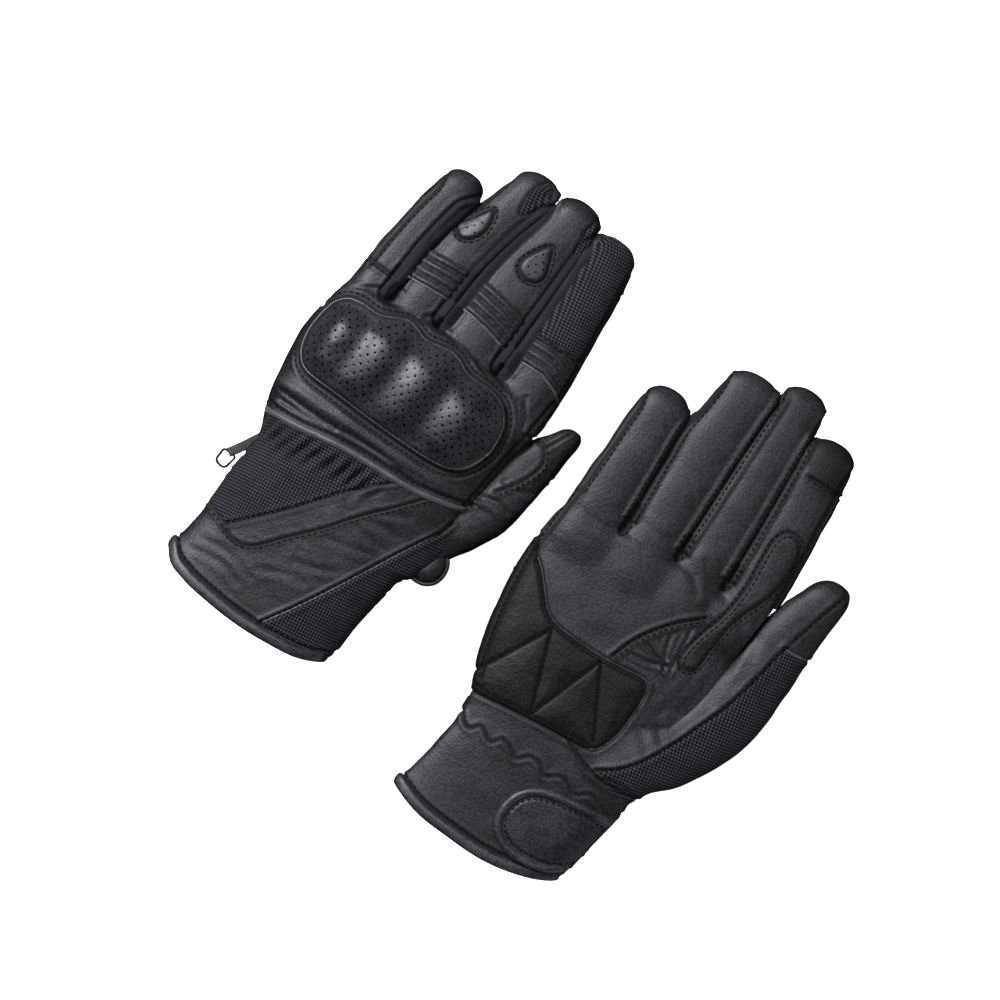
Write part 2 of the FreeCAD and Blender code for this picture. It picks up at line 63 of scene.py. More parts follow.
HEIGHT = 34.0           # a glove's thickness as it lies
SPLIT_LEVEL = 12.0      # where the back's panels meet the palm's, at the sides
FINGER_START = 134.0    # the stations where the fingers leave the hand, and where the skins of
FINGER_CUT = 167.0      # the fingers and the thumb meet the hand's skin
THUMB_CUT = 95.0
HAND_END = 162.0        # the last station of the hand's own edges
PALM_CUFF_END = 57.0    # where the palm of the hand meets the cuff
GRID = 1.4              # size of a cell of the first skin
SHELL = 1.2             # thickness of the leather with its lining
STITCH_PITCH = 3.0
LINE_STEP = 1.5         # spacing of the points of a sewn line
FINGERS = ("little", "ring", "middle", "index")
DIGITS = FINGERS + ("thumb",)
MEASURED = {"back": "left", "palm": "right"}


# ---------------------------------------------------------------- curves and fields

def track(pairs):
    """A smooth function through (station, value) pairs, level beyond its ends."""
    at, value = np.array(pairs, float).T
    slope = np.gradient(value, at)

    def curve(station):
        s = np.clip(station, at[0], at[-1])
        i = np.clip(np.searchsorted(at, s) - 1, 0, len(at) - 2)
        span = at[i + 1] - at[i]
        t = (s - at[i]) / span
        start = (2 * t**3 - 3 * t**2 + 1) * value[i] + (t**3 - 2 * t**2 + t) * span * slope[i]
        end = (3 * t**2 - 2 * t**3) * value[i + 1] + (t**3 - t**2) * span * slope[i + 1]
        return start + end

    return curve


def step(low, high, value):
    t = np.clip((value - low) / (high - low), 0, 1)
    return t * t * (3 - 2 * t)


def bell(distance, width):
    """A smooth hump: 1 at distance zero, and almost nothing at twice the width."""
    return np.exp(-(distance / width) ** 2)


def quarter_round(edge, wide):
    """The rise of a rounded edge: 0 at the rim, and 1 from that width inwards."""
    return np.sqrt(np.clip(1 - (1 - np.clip(edge / wide, 0, 1)) ** 2, 0, 1))


def smooth_line(points, closed=False, spacing=LINE_STEP):
    """A Catmull-Rom curve through the points, as a polyline of even steps."""
    p = np.array(points, float)
    if closed:
        p = np.vstack([p[-1], p, p[0], p[1]])
    else:
        p = np.vstack([2 * p[0] - p[1], p, 2 * p[-1] - p[-2]])
    fine = []
    for a, b, c, d in zip(p[:-3], p[1:-2], p[2:-1], p[3:]):
        t = np.linspace(0, 1, 12, endpoint=False)[:, None]
        fine.append(b + 0.5 * t * (c - a + t * (2 * a - 5 * b + 4 * c - d + t * (3 * (b - c) + d - a))))
    line = np.vstack(fine + [p[-2][None]])
    return even(line, spacing)


def even(line, spacing):
    """The polyline resampled to even steps of about that length."""
    along = np.r_[0, np.cumsum(np.linalg.norm(np.diff(line, axis=0), axis=1))]
    count = max(2, int(round(along[-1] / spacing)) + 1)
    at = np.linspace(0, along[-1], count)
    return np.stack([np.interp(at, along, line[:, k]) for k in range(line.shape[1])], 1)


def grow(outline, distance):
    """A closed outline moved outwards."""
    p = outline[:-1] if np.allclose(outline[0], outline[-1]) else outline
    tangent = np.roll(p, -1, 0) - np.roll(p, 1, 0)
    tangent /= np.linalg.norm(tangent, axis=1)[:, None]
    normal = np.stack([tangent[:, 1], -tangent[:, 0]], 1)
    area = np.sum(p[:, 0] * np.roll(p[:, 1], -1) - p[:, 1] * np.roll(p[:, 0], -1))
    moved = p + normal * distance * np.sign(area)
    return np.vstack([moved, moved[:1]])


def line_distance(x, y, line, reach=9.0):
    """Distance in plan from each point to a polyline, or reach where it is further."""
    far = np.full(len(x), reach)
    low, high = line.min(0) - reach, line.max(0) + reach
    near = (x > low[0]) & (x < high[0]) & (y > low[1]) & (y < high[1])
    px, py = x[near], y[near]
    best = np.full(len(px), reach * reach)
    for a, b in zip(line[:-1], line[1:]):
        e = b - a
        t = np.clip(((px - a[0]) * e[0] + (py - a[1]) * e[1]) / max(e @ e, 1e-9), 0, 1)
        best = np.minimum(best, (px - a[0] - t * e[0]) ** 2 + (py - a[1] - t * e[1]) ** 2)
    far[near] = np.sqrt(best)
    return far


def inside(x, y, outline):
    """True for the points within a closed outline."""
    odd = np.zeros(len(x), bool)
    for (ax, ay), (bx, by) in zip(outline, np.roll(outline, -1, 0)):
        if ay != by:
            spans = (ay > y) != (by > y)
            odd ^= spans & (x < (bx - ax) * (y - ay) / (by - ay) + ax)
    return odd


def outline_distance(x, y, outline, reach=9.0):
    """Signed distance in plan to a closed outline, negative within it."""
    closed = np.vstack([outline, outline[:1]])
    d = line_distance(x, y, closed, reach)
    return np.where(inside(x, y, outline), -d, d)


LATTICE = np.random.default_rng(11).random((64, 64, 64))


def noise(points, size):
    """Smooth noise from -1 to 1 with lumps of that size (x, y, z) in millimetres."""
    q = points / np.array(size, float) + 200.0
    cell = np.floor(q).astype(int)
    t = q - cell
    t = t * t * (3 - 2 * t)
    total = np.zeros(len(points))
    for corner in np.ndindex(2, 2, 2):
        c = np.array(corner)
        weight = np.prod(np.where(c == 1, t, 1 - t), axis=1)
        i = (cell + c) % 64
        total += weight * LATTICE[i[:, 0], i[:, 1], i[:, 2]]
    return 2 * total - 1


# ---------------------------------------------------------------- shapes of the two gloves

class Tube:
    """A soft tube along +Y.  sizes is rows of (y, middle x, half width); each cross-section is a
    superellipse whose widest level, top and bottom are tracks of y."""

    def __init__(self, sizes, level, top, bottom, power=2.4, tip=None, tip_round=11.0, widen=0.0):
        rows = np.array(sizes, float)
        rows[:, 2] += widen
        self.middle = track(rows[:, [0, 1]])
        self.half = track(rows[:, [0, 2]])
        self.level, self.top, self.bottom = track(level), track(top), track(bottom)
        self.power, self.tip, self.tip_round = power, tip, tip_round

    def section(self, y):
        """Middle, half width, widest level and half heights above and below it at y."""
        level = self.level(y)
        shrink = 1.0
        if self.tip is not None:
            past = np.clip((y - self.tip + self.tip_round) / self.tip_round, 0, 0.9999)
            shrink = (1 - past**2.4) ** (1 / 2.4)
        above, below = (self.top(y) - level) * shrink, (level - self.bottom(y)) * shrink
        return self.middle(y), self.half(y) * shrink, level, above, below

    def distance(self, p):
        middle, half, level, above, below = self.section(p[:, 1])
        tall = np.where(p[:, 2] > level, above, below)
        n = self.power
        u, v = np.abs(p[:, 0] - middle) / half, np.abs(p[:, 2] - level) / tall
        r = (u**n + v**n + 1e-9) ** (1 / n)
        steep = np.hypot((u / r) ** (n - 1) / half, (v / r) ** (n - 1) / tall)
        return (r - 1) / np.maximum(steep, 1e-3)

    def ring(self, y, turn):
        """The point of the cross-section at y that is turn radians from the top, towards +X."""
        middle, half, level, above, below = self.section(y)
        s, c = np.sin(turn), np.cos(turn)
        power = 2 / self.power
        x = middle + half * np.sign(s) * np.abs(s) ** power
        z = level + np.where(c > 0, above, below) * np.sign(c) * np.abs(c) ** power
        return np.stack(np.broadcast_arrays(x, y, z), -1)


# Edges of the hand by station: y, x on the little finger's side, x on the thumb's side.
HAND_EDGES = {
    "left": [(-18, -45, 37), (-8, -45.5, 43), (0, -46, 48.3), (7, -45, 50.4), (20, -43.5, 51),
             (40, -44, 53), (50, -44.5, 54), (60, -43, 57), (70, -43, 58.5), (80, -47, 58),
             (95, -52, 59.5), (110, -55, 61), (125, -57, 62), (140, -56, 63.5),
             (150, -54.5, 64), (HAND_END, -53, 64.5)],
    "right": [(-18, -44, 34), (-8, -44.5, 40), (0, -44.5, 45.6), (10, -42, 49.6),
              (25, -38.5, 53), (40, -36, 56), (50, -36, 57), (60, -38, 60), (72, -42, 64),
              (90, -46, 67.5), (110, -48.8, 68.5), (130, -49.5, 68), (150, -48.3, 66.5),
              (HAND_END, -46.7, 66)],
}

# Digits: rows of y, middle x and half width; then the tip and its roundness.
DIGIT_SIZES = {
    "left": {
        "little": ([(140, -42.5, 11.5), (170, -41.9, 11), (190, -41.3, 10.6), (205, -39.8, 10.5),
                    (218, -37.8, 10.3), (232, -36.3, 9.6)], 232.5, 10),
        "ring": ([(140, -19, 12.5), (175, -18.2, 12.8), (190, -17.5, 12.5), (205, -15.6, 12.2),
                  (220, -12.6, 11.8), (235, -9, 12), (253, -6, 11)], 252.7, 11),
        "middle": ([(140, 13, 17.5), (175, 13.3, 17.8), (190, 13.5, 17.4), (205, 13.8, 16.6),
                    (220, 14.8, 15), (235, 16.4, 13), (254, 17.6, 11.5)], 254.2, 11),
        "index": ([(140, 49, 15.5), (170, 48.4, 15.9), (190, 47, 15), (205, 45.7, 14.2),
                   (220, 44.4, 13.5), (235, 42.6, 12.6), (250, 41.3, 11.8)], 249.7, 12),
        "thumb": ([(58, 50, 8), (66, 52, 11), (75, 54, 13.5), (85, 58.5, 15), (100, 65.5, 14.5),
                   (120, 70, 13), (138, 72.8, 11.6), (147, 74.8, 9.8), (154, 77.6, 7.4),
                   (163, 79.6, 5.8)], 162.3, 8),
    },
    "right": {
        "little": ([(140, -31, 14), (170, -31, 14.2), (190, -30.6, 13.4), (205, -30.6, 12.9),
                    (218, -30.3, 12.1), (232, -30.4, 11.4)], 231, 12),
        "ring": ([(140, -1.5, 14), (175, -1.5, 14.4), (200, -1.5, 14.9), (217, -1.4, 15),
                  (230, 0, 14.2), (245, 1.2, 13.5), (259, 2, 13)], 258.6, 11),
        "middle": ([(140, 26.3, 13), (175, 26.3, 13.2), (200, 26.3, 12.8), (225, 26, 12.2),
                    (250, 26, 11.4), (266, 26, 11)], 265.6, 11),
        "index": ([(140, 53, 13.5), (175, 53.5, 14), (200, 52.8, 13.7), (225, 51.4, 13.1),
                   (240, 50.4, 12.5), (251, 50.8, 12)], 250.7, 11),
        "thumb": ([(52, 46, 8), (60, 48, 13), (67, 54, 16), (78, 60, 18), (90, 66.5, 18.5),
                   (105, 72.5, 17.5), (130, 76.8, 16.2), (150, 78.4, 15), (165, 80.4, 13.9),
                   (174, 82.2, 12.9), (183, 84.6, 11.2), (194, 87, 9.5)], 193.7, 11),
    },
}
THUMB_TOP = {"left": 18.0, "right": 20.5}
STRAP_HINGE = (54.5, 20.0)

# How far before and after a joint its stretch of skin reaches; a digit's skin is cut midway between the
# knuckle's stretch and the middle joint's.
FINGER_KNUCKLE_BEND = (11.0, 12.0)
THUMB_KNUCKLE_BEND = (7.5, 14.0)
MIDDLE_JOINT_BEND = (10.0, 10.0)

# Where each finger's leather ends at its sides, as a share of its half width: little finger's
# side, thumb's side.
BACK_EDGES = {"little": (0.66, 0.42), "ring": (0.97, 0.68), "middle": (0.76, 0.76),
              "index": (0.72, 0.88)}
PALM_EDGES = {"little": (0.8, 0.94), "ring": (0.93, 0.95), "middle": (0.95, 0.94),
              "index": (0.93, 0.78)}
# How far down the knit strip between two fingers starts, on the back and on the palm.
CROTCHES = {("little", "ring"): (157.0, 158.5), ("ring", "middle"): (162.5, 162.0),
            ("middle", "index"): (160.5, 162.0)}
# The hem: x, then how far down the glove ends there.
HEM = {
    "left": [(-52, 4), (-46, 0), (-40, -5.5), (-30, -8.5), (-15, -10), (0, -10.5), (20, -9),
             (40, -5), (47, -1.5), (54, 3)],
    "right": [(-52, 3), (-44, -1), (-30, -6), (-10, -8.3), (10, -9), (25, -7), (40, -2.5),
              (47, 1), (54, 5)],
}


class Glove:
    """The shapes of one glove: its hand, its digits and where its frame lies in the row."""

    def __init__(self, side):
        self.side = side
        rows = np.array(HAND_EDGES[side], float)
        self.low_edge, self.high_edge = track(rows[:, [0, 1]]), track(rows[:, [0, 2]])
        sizes = np.stack([rows[:, 0], (rows[:, 1] + rows[:, 2]) / 2,
                          (rows[:, 2] - rows[:, 1]) / 2], 1)
        self.hand = Tube(
            sizes,
            level=[(-18, 13), (64, 12), (120, 12), (162, 12)],
            top=[(-18, 25), (30, 26), (64, 26), (101, 28.5), (132, 30), (150, 28), (164, 24.5)],
            bottom=[(-18, 4.4), (30, 4), (64, 3), (101, 2.2), (164, 2.2)], power=2.5)
        self.digits = {}
        for name, (table, tip, tip_round) in DIGIT_SIZES[side].items():
            top = THUMB_TOP[side] if name == "thumb" else 22.3
            start = table[0][0]
            self.digits[name] = Tube(
                table, level=[(start, 11), (tip, 10)], top=[(start, top), (tip, top - 2)],
                bottom=[(start, 2.2), (tip, 2.0)], power=2.35, tip=tip, tip_round=tip_round,
                widen=0.0 if name == "thumb" else 0.6)
        self.hem = track(HEM[side])
        self.rim = track([(-60, 153), (-34, 155.5), (-5, 161), (32, 159.5), (66, 156)])
        joint = JOINTS[f"{side}_strap_hinge"]
        axis = np.array(joint["axis"][:2]) * np.sign(joint["axis"][1])
        self.y_axis = axis / np.linalg.norm(axis)
        self.x_axis = np.array([self.y_axis[1], -self.y_axis[0]])
        hinge = np.array(joint["pos_m"][:2]) * 1000
        self.origin = hinge - STRAP_HINGE[0] * self.x_axis - STRAP_HINGE[1] * self.y_axis

    def root_distance(self, p):
        """Roughly the distance to the skin of the hand and the stubs of its digits."""
        y = p[:, 1]
        d = smooth_max(self.hand.distance(p), y - self.rim(p[:, 0]), 6.0)
        soft = 4.0 * (1 - step(154, FINGER_CUT - 1, y)) + 1e-3
        for name in FINGERS:
            finger = smooth_max(self.digits[name].distance(p), FINGER_START - y, 14.0)
            d = smooth_min(d, finger, soft)
        soft = 9.0 * (1 - step(78, THUMB_CUT - 1, y)) + 1e-3
        thumb = np.maximum(self.digits["thumb"].distance(p), y - THUMB_CUT - 3.5)
        thumb = np.maximum(thumb, 58 - y)
        return smooth_min(d, thumb, soft)

    def to_row(self, points):
        """Points of this glove's frame in metres in the row's frame."""
        p = np.asarray(points, float)
        plan = self.origin + p[:, :1] * self.x_axis + p[:, 1:2] * self.y_axis
        z = p[:, 2] if self.side == "left" else HEIGHT - p[:, 2]
        return np.column_stack([plan, z]) / 1000

    def turn_to_row(self, directions):
        d = np.asarray(directions, float)
        plan = d[:, :1] * self.x_axis + d[:, 1:2] * self.y_axis
        return np.column_stack([plan, d[:, 2] if self.side == "left" else -d[:, 2]])


def smooth_min(a, b, k):
    h = np.maximum(k - np.abs(a - b), 0) / k
    return np.minimum(a, b) - h * h * k / 4


def smooth_max(a, b, k):
    return -smooth_min(-a, -b, k)


GLOVES = {side: Glove(side) for side in ("left", "right")}


def across_hand(x, y, source, target):
    """Points of one glove's hand at the same share of the width of the other's."""
    share = (x - source.low_edge(y)) / (source.high_edge(y) - source.low_edge(y))
    low, high = target.low_edge(y), target.high_edge(y)
    return np.stack([low + share * (high - low), y], 1)


def carry(points, view, glove, digit=None):
    """A feature measured on one glove, moved to the same place on this one: across the hand's
    width, or along and across a digit."""
    source = GLOVES[MEASURED[view]]
    p = np.array(points, float)
    if source is glove:
        return p
    if digit is None:
        return across_hand(p[:, 0], p[:, 1], source, glove)
    start = THUMB_CUT if digit == "thumb" else FINGER_CUT
    old, new = source.digits[digit], glove.digits[digit]
    stretch = (new.tip - start) / (old.tip - start)
    y = np.where(p[:, 1] > start, start + (p[:, 1] - start) * stretch, p[:, 1])
    share = (p[:, 0] - old.middle(p[:, 1])) / old.half(p[:, 1])
    return np.stack([new.middle(y) + share * new.half(y), y], 1)


# ---------------------------------------------------------------- meshes

def skin(distance, low, high):
    """The surface where distance is zero, as triangles (surface nets on a grid)."""
    low = np.array(low, float)
    axes = [np.arange(a, b, GRID) for a, b in zip(low, high)]
    nodes = np.stack(np.meshgrid(*axes, indexing="ij"), -1)
    d = distance(nodes.reshape(-1, 3)).reshape(nodes.shape[:3])
    shape = np.array(d.shape) - 1
    total, count = np.zeros((*shape, 3)), np.zeros(shape)
    for axis in range(3):
        for u, v in ((0, 0), (0, 1), (1, 0), (1, 1)):
            start = np.zeros(3, int)
            start[(axis + 1) % 3], start[(axis + 2) % 3] = u, v
            end = start + np.eye(3, dtype=int)[axis]
            da = d[tuple(slice(o, o + s) for o, s in zip(start, shape))]
            db = d[tuple(slice(o, o + s) for o, s in zip(end, shape))]
            crosses = (da < 0) != (db < 0)
            share = da / np.where(crosses, da - db, 1)
            point = np.zeros((*shape, 3)) + start
            point[..., axis] += share
            total += point * crosses[..., None]
            count += crosses
    used = count > 0
    index = np.full(shape, -1)
    index[used] = np.arange(used.sum())
    points = low + GRID * (np.argwhere(used) + total[used] / count[used][:, None])
    faces = []
    negative = d < 0
    for axis in range(3):
        a, b = np.eye(3, dtype=int)[(axis + 1) % 3], np.eye(3, dtype=int)[(axis + 2) % 3]
        first = [slice(1, -1)] * 3
        first[axis] = slice(0, -1)
        second = list(first)
        second[axis] = slice(1, None)
        starts, ends = negative[tuple(first)], negative[tuple(second)]
        where = np.argwhere(starts != ends)
        node = where + a + b
        quad = np.stack([index[tuple((node - a * i - b * j).T)]
                         for i, j in ((1, 1), (0, 1), (0, 0), (1, 0))], 1)
        flip = ~starts[tuple(where.T)]
        quad[flip] = quad[flip][:, ::-1]
        faces.append(quad)
    quads = np.vstack(faces)
    return points, np.vstack([quads[:, [0, 1, 2]], quads[:, [0, 2, 3]]])


def settle(points, distance, rounds):
    """Moves the points onto the surface where distance is zero."""
    h = 0.05
    for _ in range(rounds):
        d = distance(points)
        slope = np.stack([(distance(points + h * e) - distance(points - h * e)) / (2 * h)
                          for e in np.eye(3)], 1)
        move = d / np.maximum((slope * slope).sum(1), 0.05)
        points = points - slope * np.clip(move, -GRID, GRID)[:, None]
    return points


def refine(points, faces):
    """Each triangle cut into four."""
    pairs = np.sort(faces[:, [[0, 1], [1, 2], [2, 0]]].reshape(-1, 2), 1)
    keys, inverse = np.unique(pairs[:, 0] * len(points) + pairs[:, 1], return_inverse=True)
    ends = np.stack([keys // len(points), keys % len(points)], 1)
    middles = points[ends].mean(1)
    ab, bc, ca = (inverse.reshape(-1, 3) + len(points)).T
    a, b, c = faces.T
    parts = [(a, ab, ca), (b, bc, ab), (c, ca, bc), (ab, bc, ca)]
    return np.vstack([points, middles]), np.vstack([np.stack(t, 1) for t in parts])


def normals_of(points, faces, place=None):
    """Normals at the points.  Points with the same number in place share theirs."""
    place = np.arange(len(points)) if place is None else place
    a, b, c = (points[faces[:, k]] for k in range(3))
    face = np.cross(b - a, c - a)
    total = np.zeros((place.max() + 1, 3))
    for k in range(3):
        for axis in range(3):
            total[:, axis] += np.bincount(place[faces[:, k]], face[:, axis], len(total))
    return unit(total)[place]


class Patch:
    """Part of a glove's skin: points before any relief, their normals, and triangles."""

    def __init__(self, points, normals, faces, owner, region=""):
        self.points, self.normals, self.faces = points, normals, faces
        self.owner, self.region = owner, region

    def tidy(self):
        used = np.unique(self.faces)
        new = np.full(len(self.points), -1)
        new[used] = np.arange(len(used))
        return Patch(self.points[used], self.normals[used], new[self.faces], self.owner, self.region)

    def split(self, field):
        """Cuts along field = 0, a value per point: the part below zero, and the rest."""
        low = field < 0
        if low.all() or not low.any():
            empty = Patch(self.points[:0], self.normals[:0], self.faces[:0], self.owner, self.region)
            return (self, empty) if low.all() else (empty, self)
        n = len(self.points)
        sides = low[self.faces]
        count = sides.sum(1)
        mixed = (count == 1) | (count == 2)
        f, s = self.faces[mixed], sides[mixed]
        lone = np.where(s.sum(1) == 1, s.argmax(1), (~s).argmax(1))
        rows = np.arange(len(f))
        a, b, c = f[rows, lone], f[rows, (lone + 1) % 3], f[rows, (lone + 2) % 3]
        pairs = np.sort(np.stack([np.r_[a, a], np.r_[b, c]], 1), 1)
        keys, inverse = np.unique(pairs[:, 0] * n + pairs[:, 1], return_inverse=True)
        i, j = keys // n, keys % n
        t = np.clip(field[i] / (field[i] - field[j]), 0.001, 0.999)[:, None]
        points = np.vstack([self.points, self.points[i] * (1 - t) + self.points[j] * t])
        normals = np.vstack([self.normals, self.normals[i] * (1 - t) + self.normals[j] * t])
        ab, ac = inverse[: len(a)] + n, inverse[len(a):] + n
        alone = np.stack([a, ab, ac], 1)
        rest = np.vstack([np.stack([ab, b, c], 1), np.stack([ab, c, ac], 1)])
        lone_low = s[rows, lone]
        twice = np.r_[lone_low, lone_low]
        lower = np.vstack([self.faces[count == 3], alone[lone_low], rest[~twice]])
        upper = np.vstack([self.faces[count == 0], alone[~lone_low], rest[twice]])
        return tuple(Patch(points, normals, k, self.owner, self.region).tidy()
                     for k in (lower, upper))


def strip_faces(rows, columns, closed=False):
    """Triangles between neighbouring rings of points, each ring closed on itself."""
    i, j = np.meshgrid(np.arange(rows if closed else rows - 1), np.arange(columns), indexing="ij")
    ahead, beyond = (i + 1) % rows * columns, (j + 1) % columns
    a, b, c, d = i * columns + j, i * columns + beyond, ahead + beyond, ahead + j
    return np.vstack([np.stack([a, b, c], -1).reshape(-1, 3), np.stack([a, c, d], -1).reshape(-1, 3)])


def tube_grid(tube, start, columns=96, spacing=0.85):
    """A digit's skin from start to its tip, with a point at the very end."""
    straight = np.arange(start, tube.tip - tube.tip_round, spacing)
    turn = np.linspace(0, math.pi / 2, 16)[:-1]
    rows = np.r_[straight, tube.tip - tube.tip_round * (1 - np.sin(turn))]
    around = np.linspace(0, 2 * math.pi, columns, endpoint=False)
    grid = tube.ring(rows[:, None], around[None, :])
    end = np.array([[tube.middle(tube.tip), tube.tip, tube.level(tube.tip)]])
    points = np.vstack([grid.reshape(-1, 3), end])
    last = (len(rows) - 1) * columns
    j = np.arange(columns)
    cap = np.stack([last + j, last + (j + 1) % columns, np.full(columns, len(points) - 1)], 1)
    return points, np.vstack([strip_faces(len(rows), columns), cap])


def sweep(path, across, up, profile, closed):
    """A closed profile of (across, up) offsets carried along a path."""
    rings = path[:, None] + across[:, None] * profile[None, :, :1] + up[:, None] * profile[None, :, 1:]
    n, k = len(path), len(profile)
    faces = [strip_faces(n, k, closed)]
    if not closed:
        ends = np.arange(1, k - 1)
        faces.append(np.stack([ends * 0, ends + 1, ends], 1))
        last = (n - 1) * k
        faces.append(np.stack([ends * 0 + last, last + ends, last + ends + 1], 1))
    return rings.reshape(-1, 3), np.vstack(faces)


def oval(wide, high, count=10, power=2.0):
    """A closed profile, rounder or squarer by its power."""
    t = np.linspace(0, 2 * math.pi, count, endpoint=False)
    c, s = np.cos(t), np.sin(t)
    return np.stack([wide * np.sign(c) * np.abs(c) ** (2 / power),
                     high * np.sign(s) * np.abs(s) ** (2 / power)], 1)


def unit(v):
    return v / np.maximum(np.linalg.norm(v, axis=-1, keepdims=True), 1e-12)


def tangents(path, closed):
    if closed:
        return unit(np.roll(path, -1, 0) - np.roll(path, 1, 0))
    return unit(np.gradient(path, axis=0))


def thicken(points, normals, faces, thick):
    """Adds an inner face and a rim; the outer faces stay first, in their order."""
    n = len(points)
    pairs = faces[:, [[0, 1], [1, 2], [2, 0]]].reshape(-1, 2)
    key = np.sort(pairs, 1)
    _, first, count = np.unique(key[:, 0] * n + key[:, 1], return_index=True, return_counts=True)
    a, b = pairs[first[count == 1]].T
    rim = np.vstack([np.stack([a + n, b + n, b], 1), np.stack([a + n, b, a], 1)])
    everything = np.vstack([faces, faces[:, ::-1] + n, rim])
    return np.vstack([points, points - normals * thick]), everything


# ---------------------------------------------------------------- pieces

class Piece:
    """One Blender object under way: several meshes with a material each."""

    def __init__(self, name, slot):
        self.name, self.slot = name, slot
        self.points, self.faces, self.material, self.uv, self.rest = [], [], [], [], []
        self.normals, self.crease_shade = [], []
        self.size = 0

    def add(self, points, faces, material, uv=None, rest=None, normals=None, crease_shade=None):
        if len(faces) == 0:
            return
        rest = points if rest is None else rest
        self.points.append(points)
        self.faces.append(faces + self.size)
        self.material.append([material] * len(faces))
        self.rest.append(rest)
        self.uv.append(rest[:, :2] if uv is None else uv)
        self.normals.append(np.full(points.shape, np.nan) if normals is None else normals)
        self.crease_shade.append(np.zeros(len(points)) if crease_shade is None else crease_shade)
        self.size += len(points)

    def build(self, glove):
        points, rest = np.vstack(self.points), np.vstack(self.rest)
        faces = np.vstack(self.faces)
        if glove.side == "right":
            faces = faces[:, ::-1]
        names = sum(self.material, [])
        used = list(dict.fromkeys(names))
        number = {name: k for k, name in enumerate(used)}
        mesh = bpy.data.meshes.new(self.name)
        mesh.vertices.add(len(points))
        mesh.vertices.foreach_set("co", glove.to_row(points).astype(np.float32).ravel())
        mesh.loops.add(faces.size)
        mesh.loops.foreach_set("vertex_index", faces.astype(np.int32).ravel())
        mesh.polygons.add(len(faces))
        mesh.polygons.foreach_set("loop_start", np.arange(0, faces.size, 3, dtype=np.int32))
        mesh.polygons.foreach_set("material_index", np.array([number[k] for k in names], np.int32))
        mesh.polygons.foreach_set("use_smooth", np.ones(len(faces), bool))
        layer = mesh.uv_layers.new(name="millimetres")
        uv = np.vstack(self.uv)
        layer.data.foreach_set("uv", uv[faces.ravel()].astype(np.float32).ravel())
        attribute = mesh.attributes.new("rest", "FLOAT_VECTOR", "POINT")
        attribute.data.foreach_set("vector", rest.astype(np.float32).ravel())
        attribute = mesh.attributes.new("crease_shade", "FLOAT", "POINT")
        attribute.data.foreach_set("value", np.concatenate(self.crease_shade).astype(np.float32))
        for name in used:
            mesh.materials.append(material(name))
        mesh.update(calc_edges=True)
        given = np.vstack(self.normals)
        if not np.isnan(given).all():
            own = np.zeros(len(points) * 3, np.float32)
            mesh.vertices.foreach_get("normal", own)
            turned = glove.turn_to_row(given)
            turned = np.where(np.isnan(turned), own.reshape(-1, 3), turned)
            mesh.normals_split_custom_set_from_vertices(turned.tolist())
        obj = bpy.data.objects.new(self.name, mesh)
        bpy.context.scene.collection.objects.link(obj)
        return obj


def plan_uv(glove, points):
    """Length around the glove and along it, so that a weave keeps its size on the sides."""
    x, y, z = points.T
    centre = (glove.low_edge(y) + glove.high_edge(y)) / 2
    fall = np.where(z > SPLIT_LEVEL, HEIGHT - z, z)
    return np.stack([x + np.sign(x - centre) * fall, y], 1)


# ---------------------------------------------------------------- sewn features

# Back of the hand, measured on the left glove.
GUARD = [(-54.5, 128), (-53, 140), (-48, 147), (-40, 149.5), (-31, 149.8), (-25, 152.5),
         (-18, 156), (-12, 155.7), (-5, 153.7), (2, 155.3), (9, 156.5), (15, 155.2),
         (21, 152.7), (28, 152.6), (36, 152.8), (44, 150), (50, 143), (52.5, 133), (52, 125),
         (48, 115.5), (41, 110), (30, 107.5), (15, 106.5), (0, 106), (-22, 106), (-42, 106.3),
         (-50, 111.5), (-53.5, 119)]
DOMES = [(-40, 133, 9.5), (-18, 138, 10.0), (6, 139, 10.5), (32, 135, 11.0)]
PIPING = [(-60, 79), (-48, 80.3), (-30, 82.7), (-15, 86), (0, 88.5), (20, 90.3), (35, 92.2),
          (50, 96), (62, 100.5)]
BAND_SEAM = [(41, 92), (31, 79), (20, 65.5), (10, 51), (-2, 36.5), (-10, 26), (-16, 21.5),
             (-22, 20.5), (-29, 22)]
BAND_EDGE = [(25, 90), (10, 74), (-10, 47), (-29, 24.5)]
WRIST_MESH = [(-64, 79.5), *PIPING[1:5], (24, 90), *BAND_EDGE[1:], (-36, 25.5), (-43, 27.5),
              (-64, 33)]
SIDE_SEAM = [(13, -4), (22, 12), (32, 32), (40, 49), (48, 66), (56, 82), (58, 90)]
SIDE_MESH = [(12, -16), (13, -3), *SIDE_SEAM[1:6], (62, 82), (63, 70), (68, 50), (68, -16)]
KNUCKLE_ROLL = [(-50, 95.5), (-30, 97), (0, 99), (30, 100.5), (52, 103)]
WRIST_FOLDS = [[(20, 62), (28, 60), (38, 60)], [(22, 66), (30, 68), (42, 69)],
               [(24, 70), (32, 76), (40, 80)], [(8, 30), (20, 34), (30, 40)],
               [(-4, 16), (8, 22), (18, 24)], [(14, 48), (22, 50), (34, 54)],
               [(-34, 12), (-20, 14), (-4, 11)], [(-36, 5), (-20, 8), (-8, 5)]]
BACK_FOLDS = [[(-52, 150), (-44, 156), (-38, 160)], [(-12, 162), (-8, 166), (2, 163)],
              [(22, 160), (32, 157), (44, 158)], [(50, 160), (57, 150), (60, 138)],
              [(-48, 92), (-30, 92), (-14, 93)], [(-10, 94.5), (10, 96), (24, 95)],
              [(-44, 88), (-30, 88.5), (-20, 90)]]
THUMB_OVAL = [(60, 145), (66, 147), (72, 146), (76, 140), (75, 132), (71, 123), (66, 115)]
THUMB_SEAM = [(72, 146), (75, 153), (78, 161)]
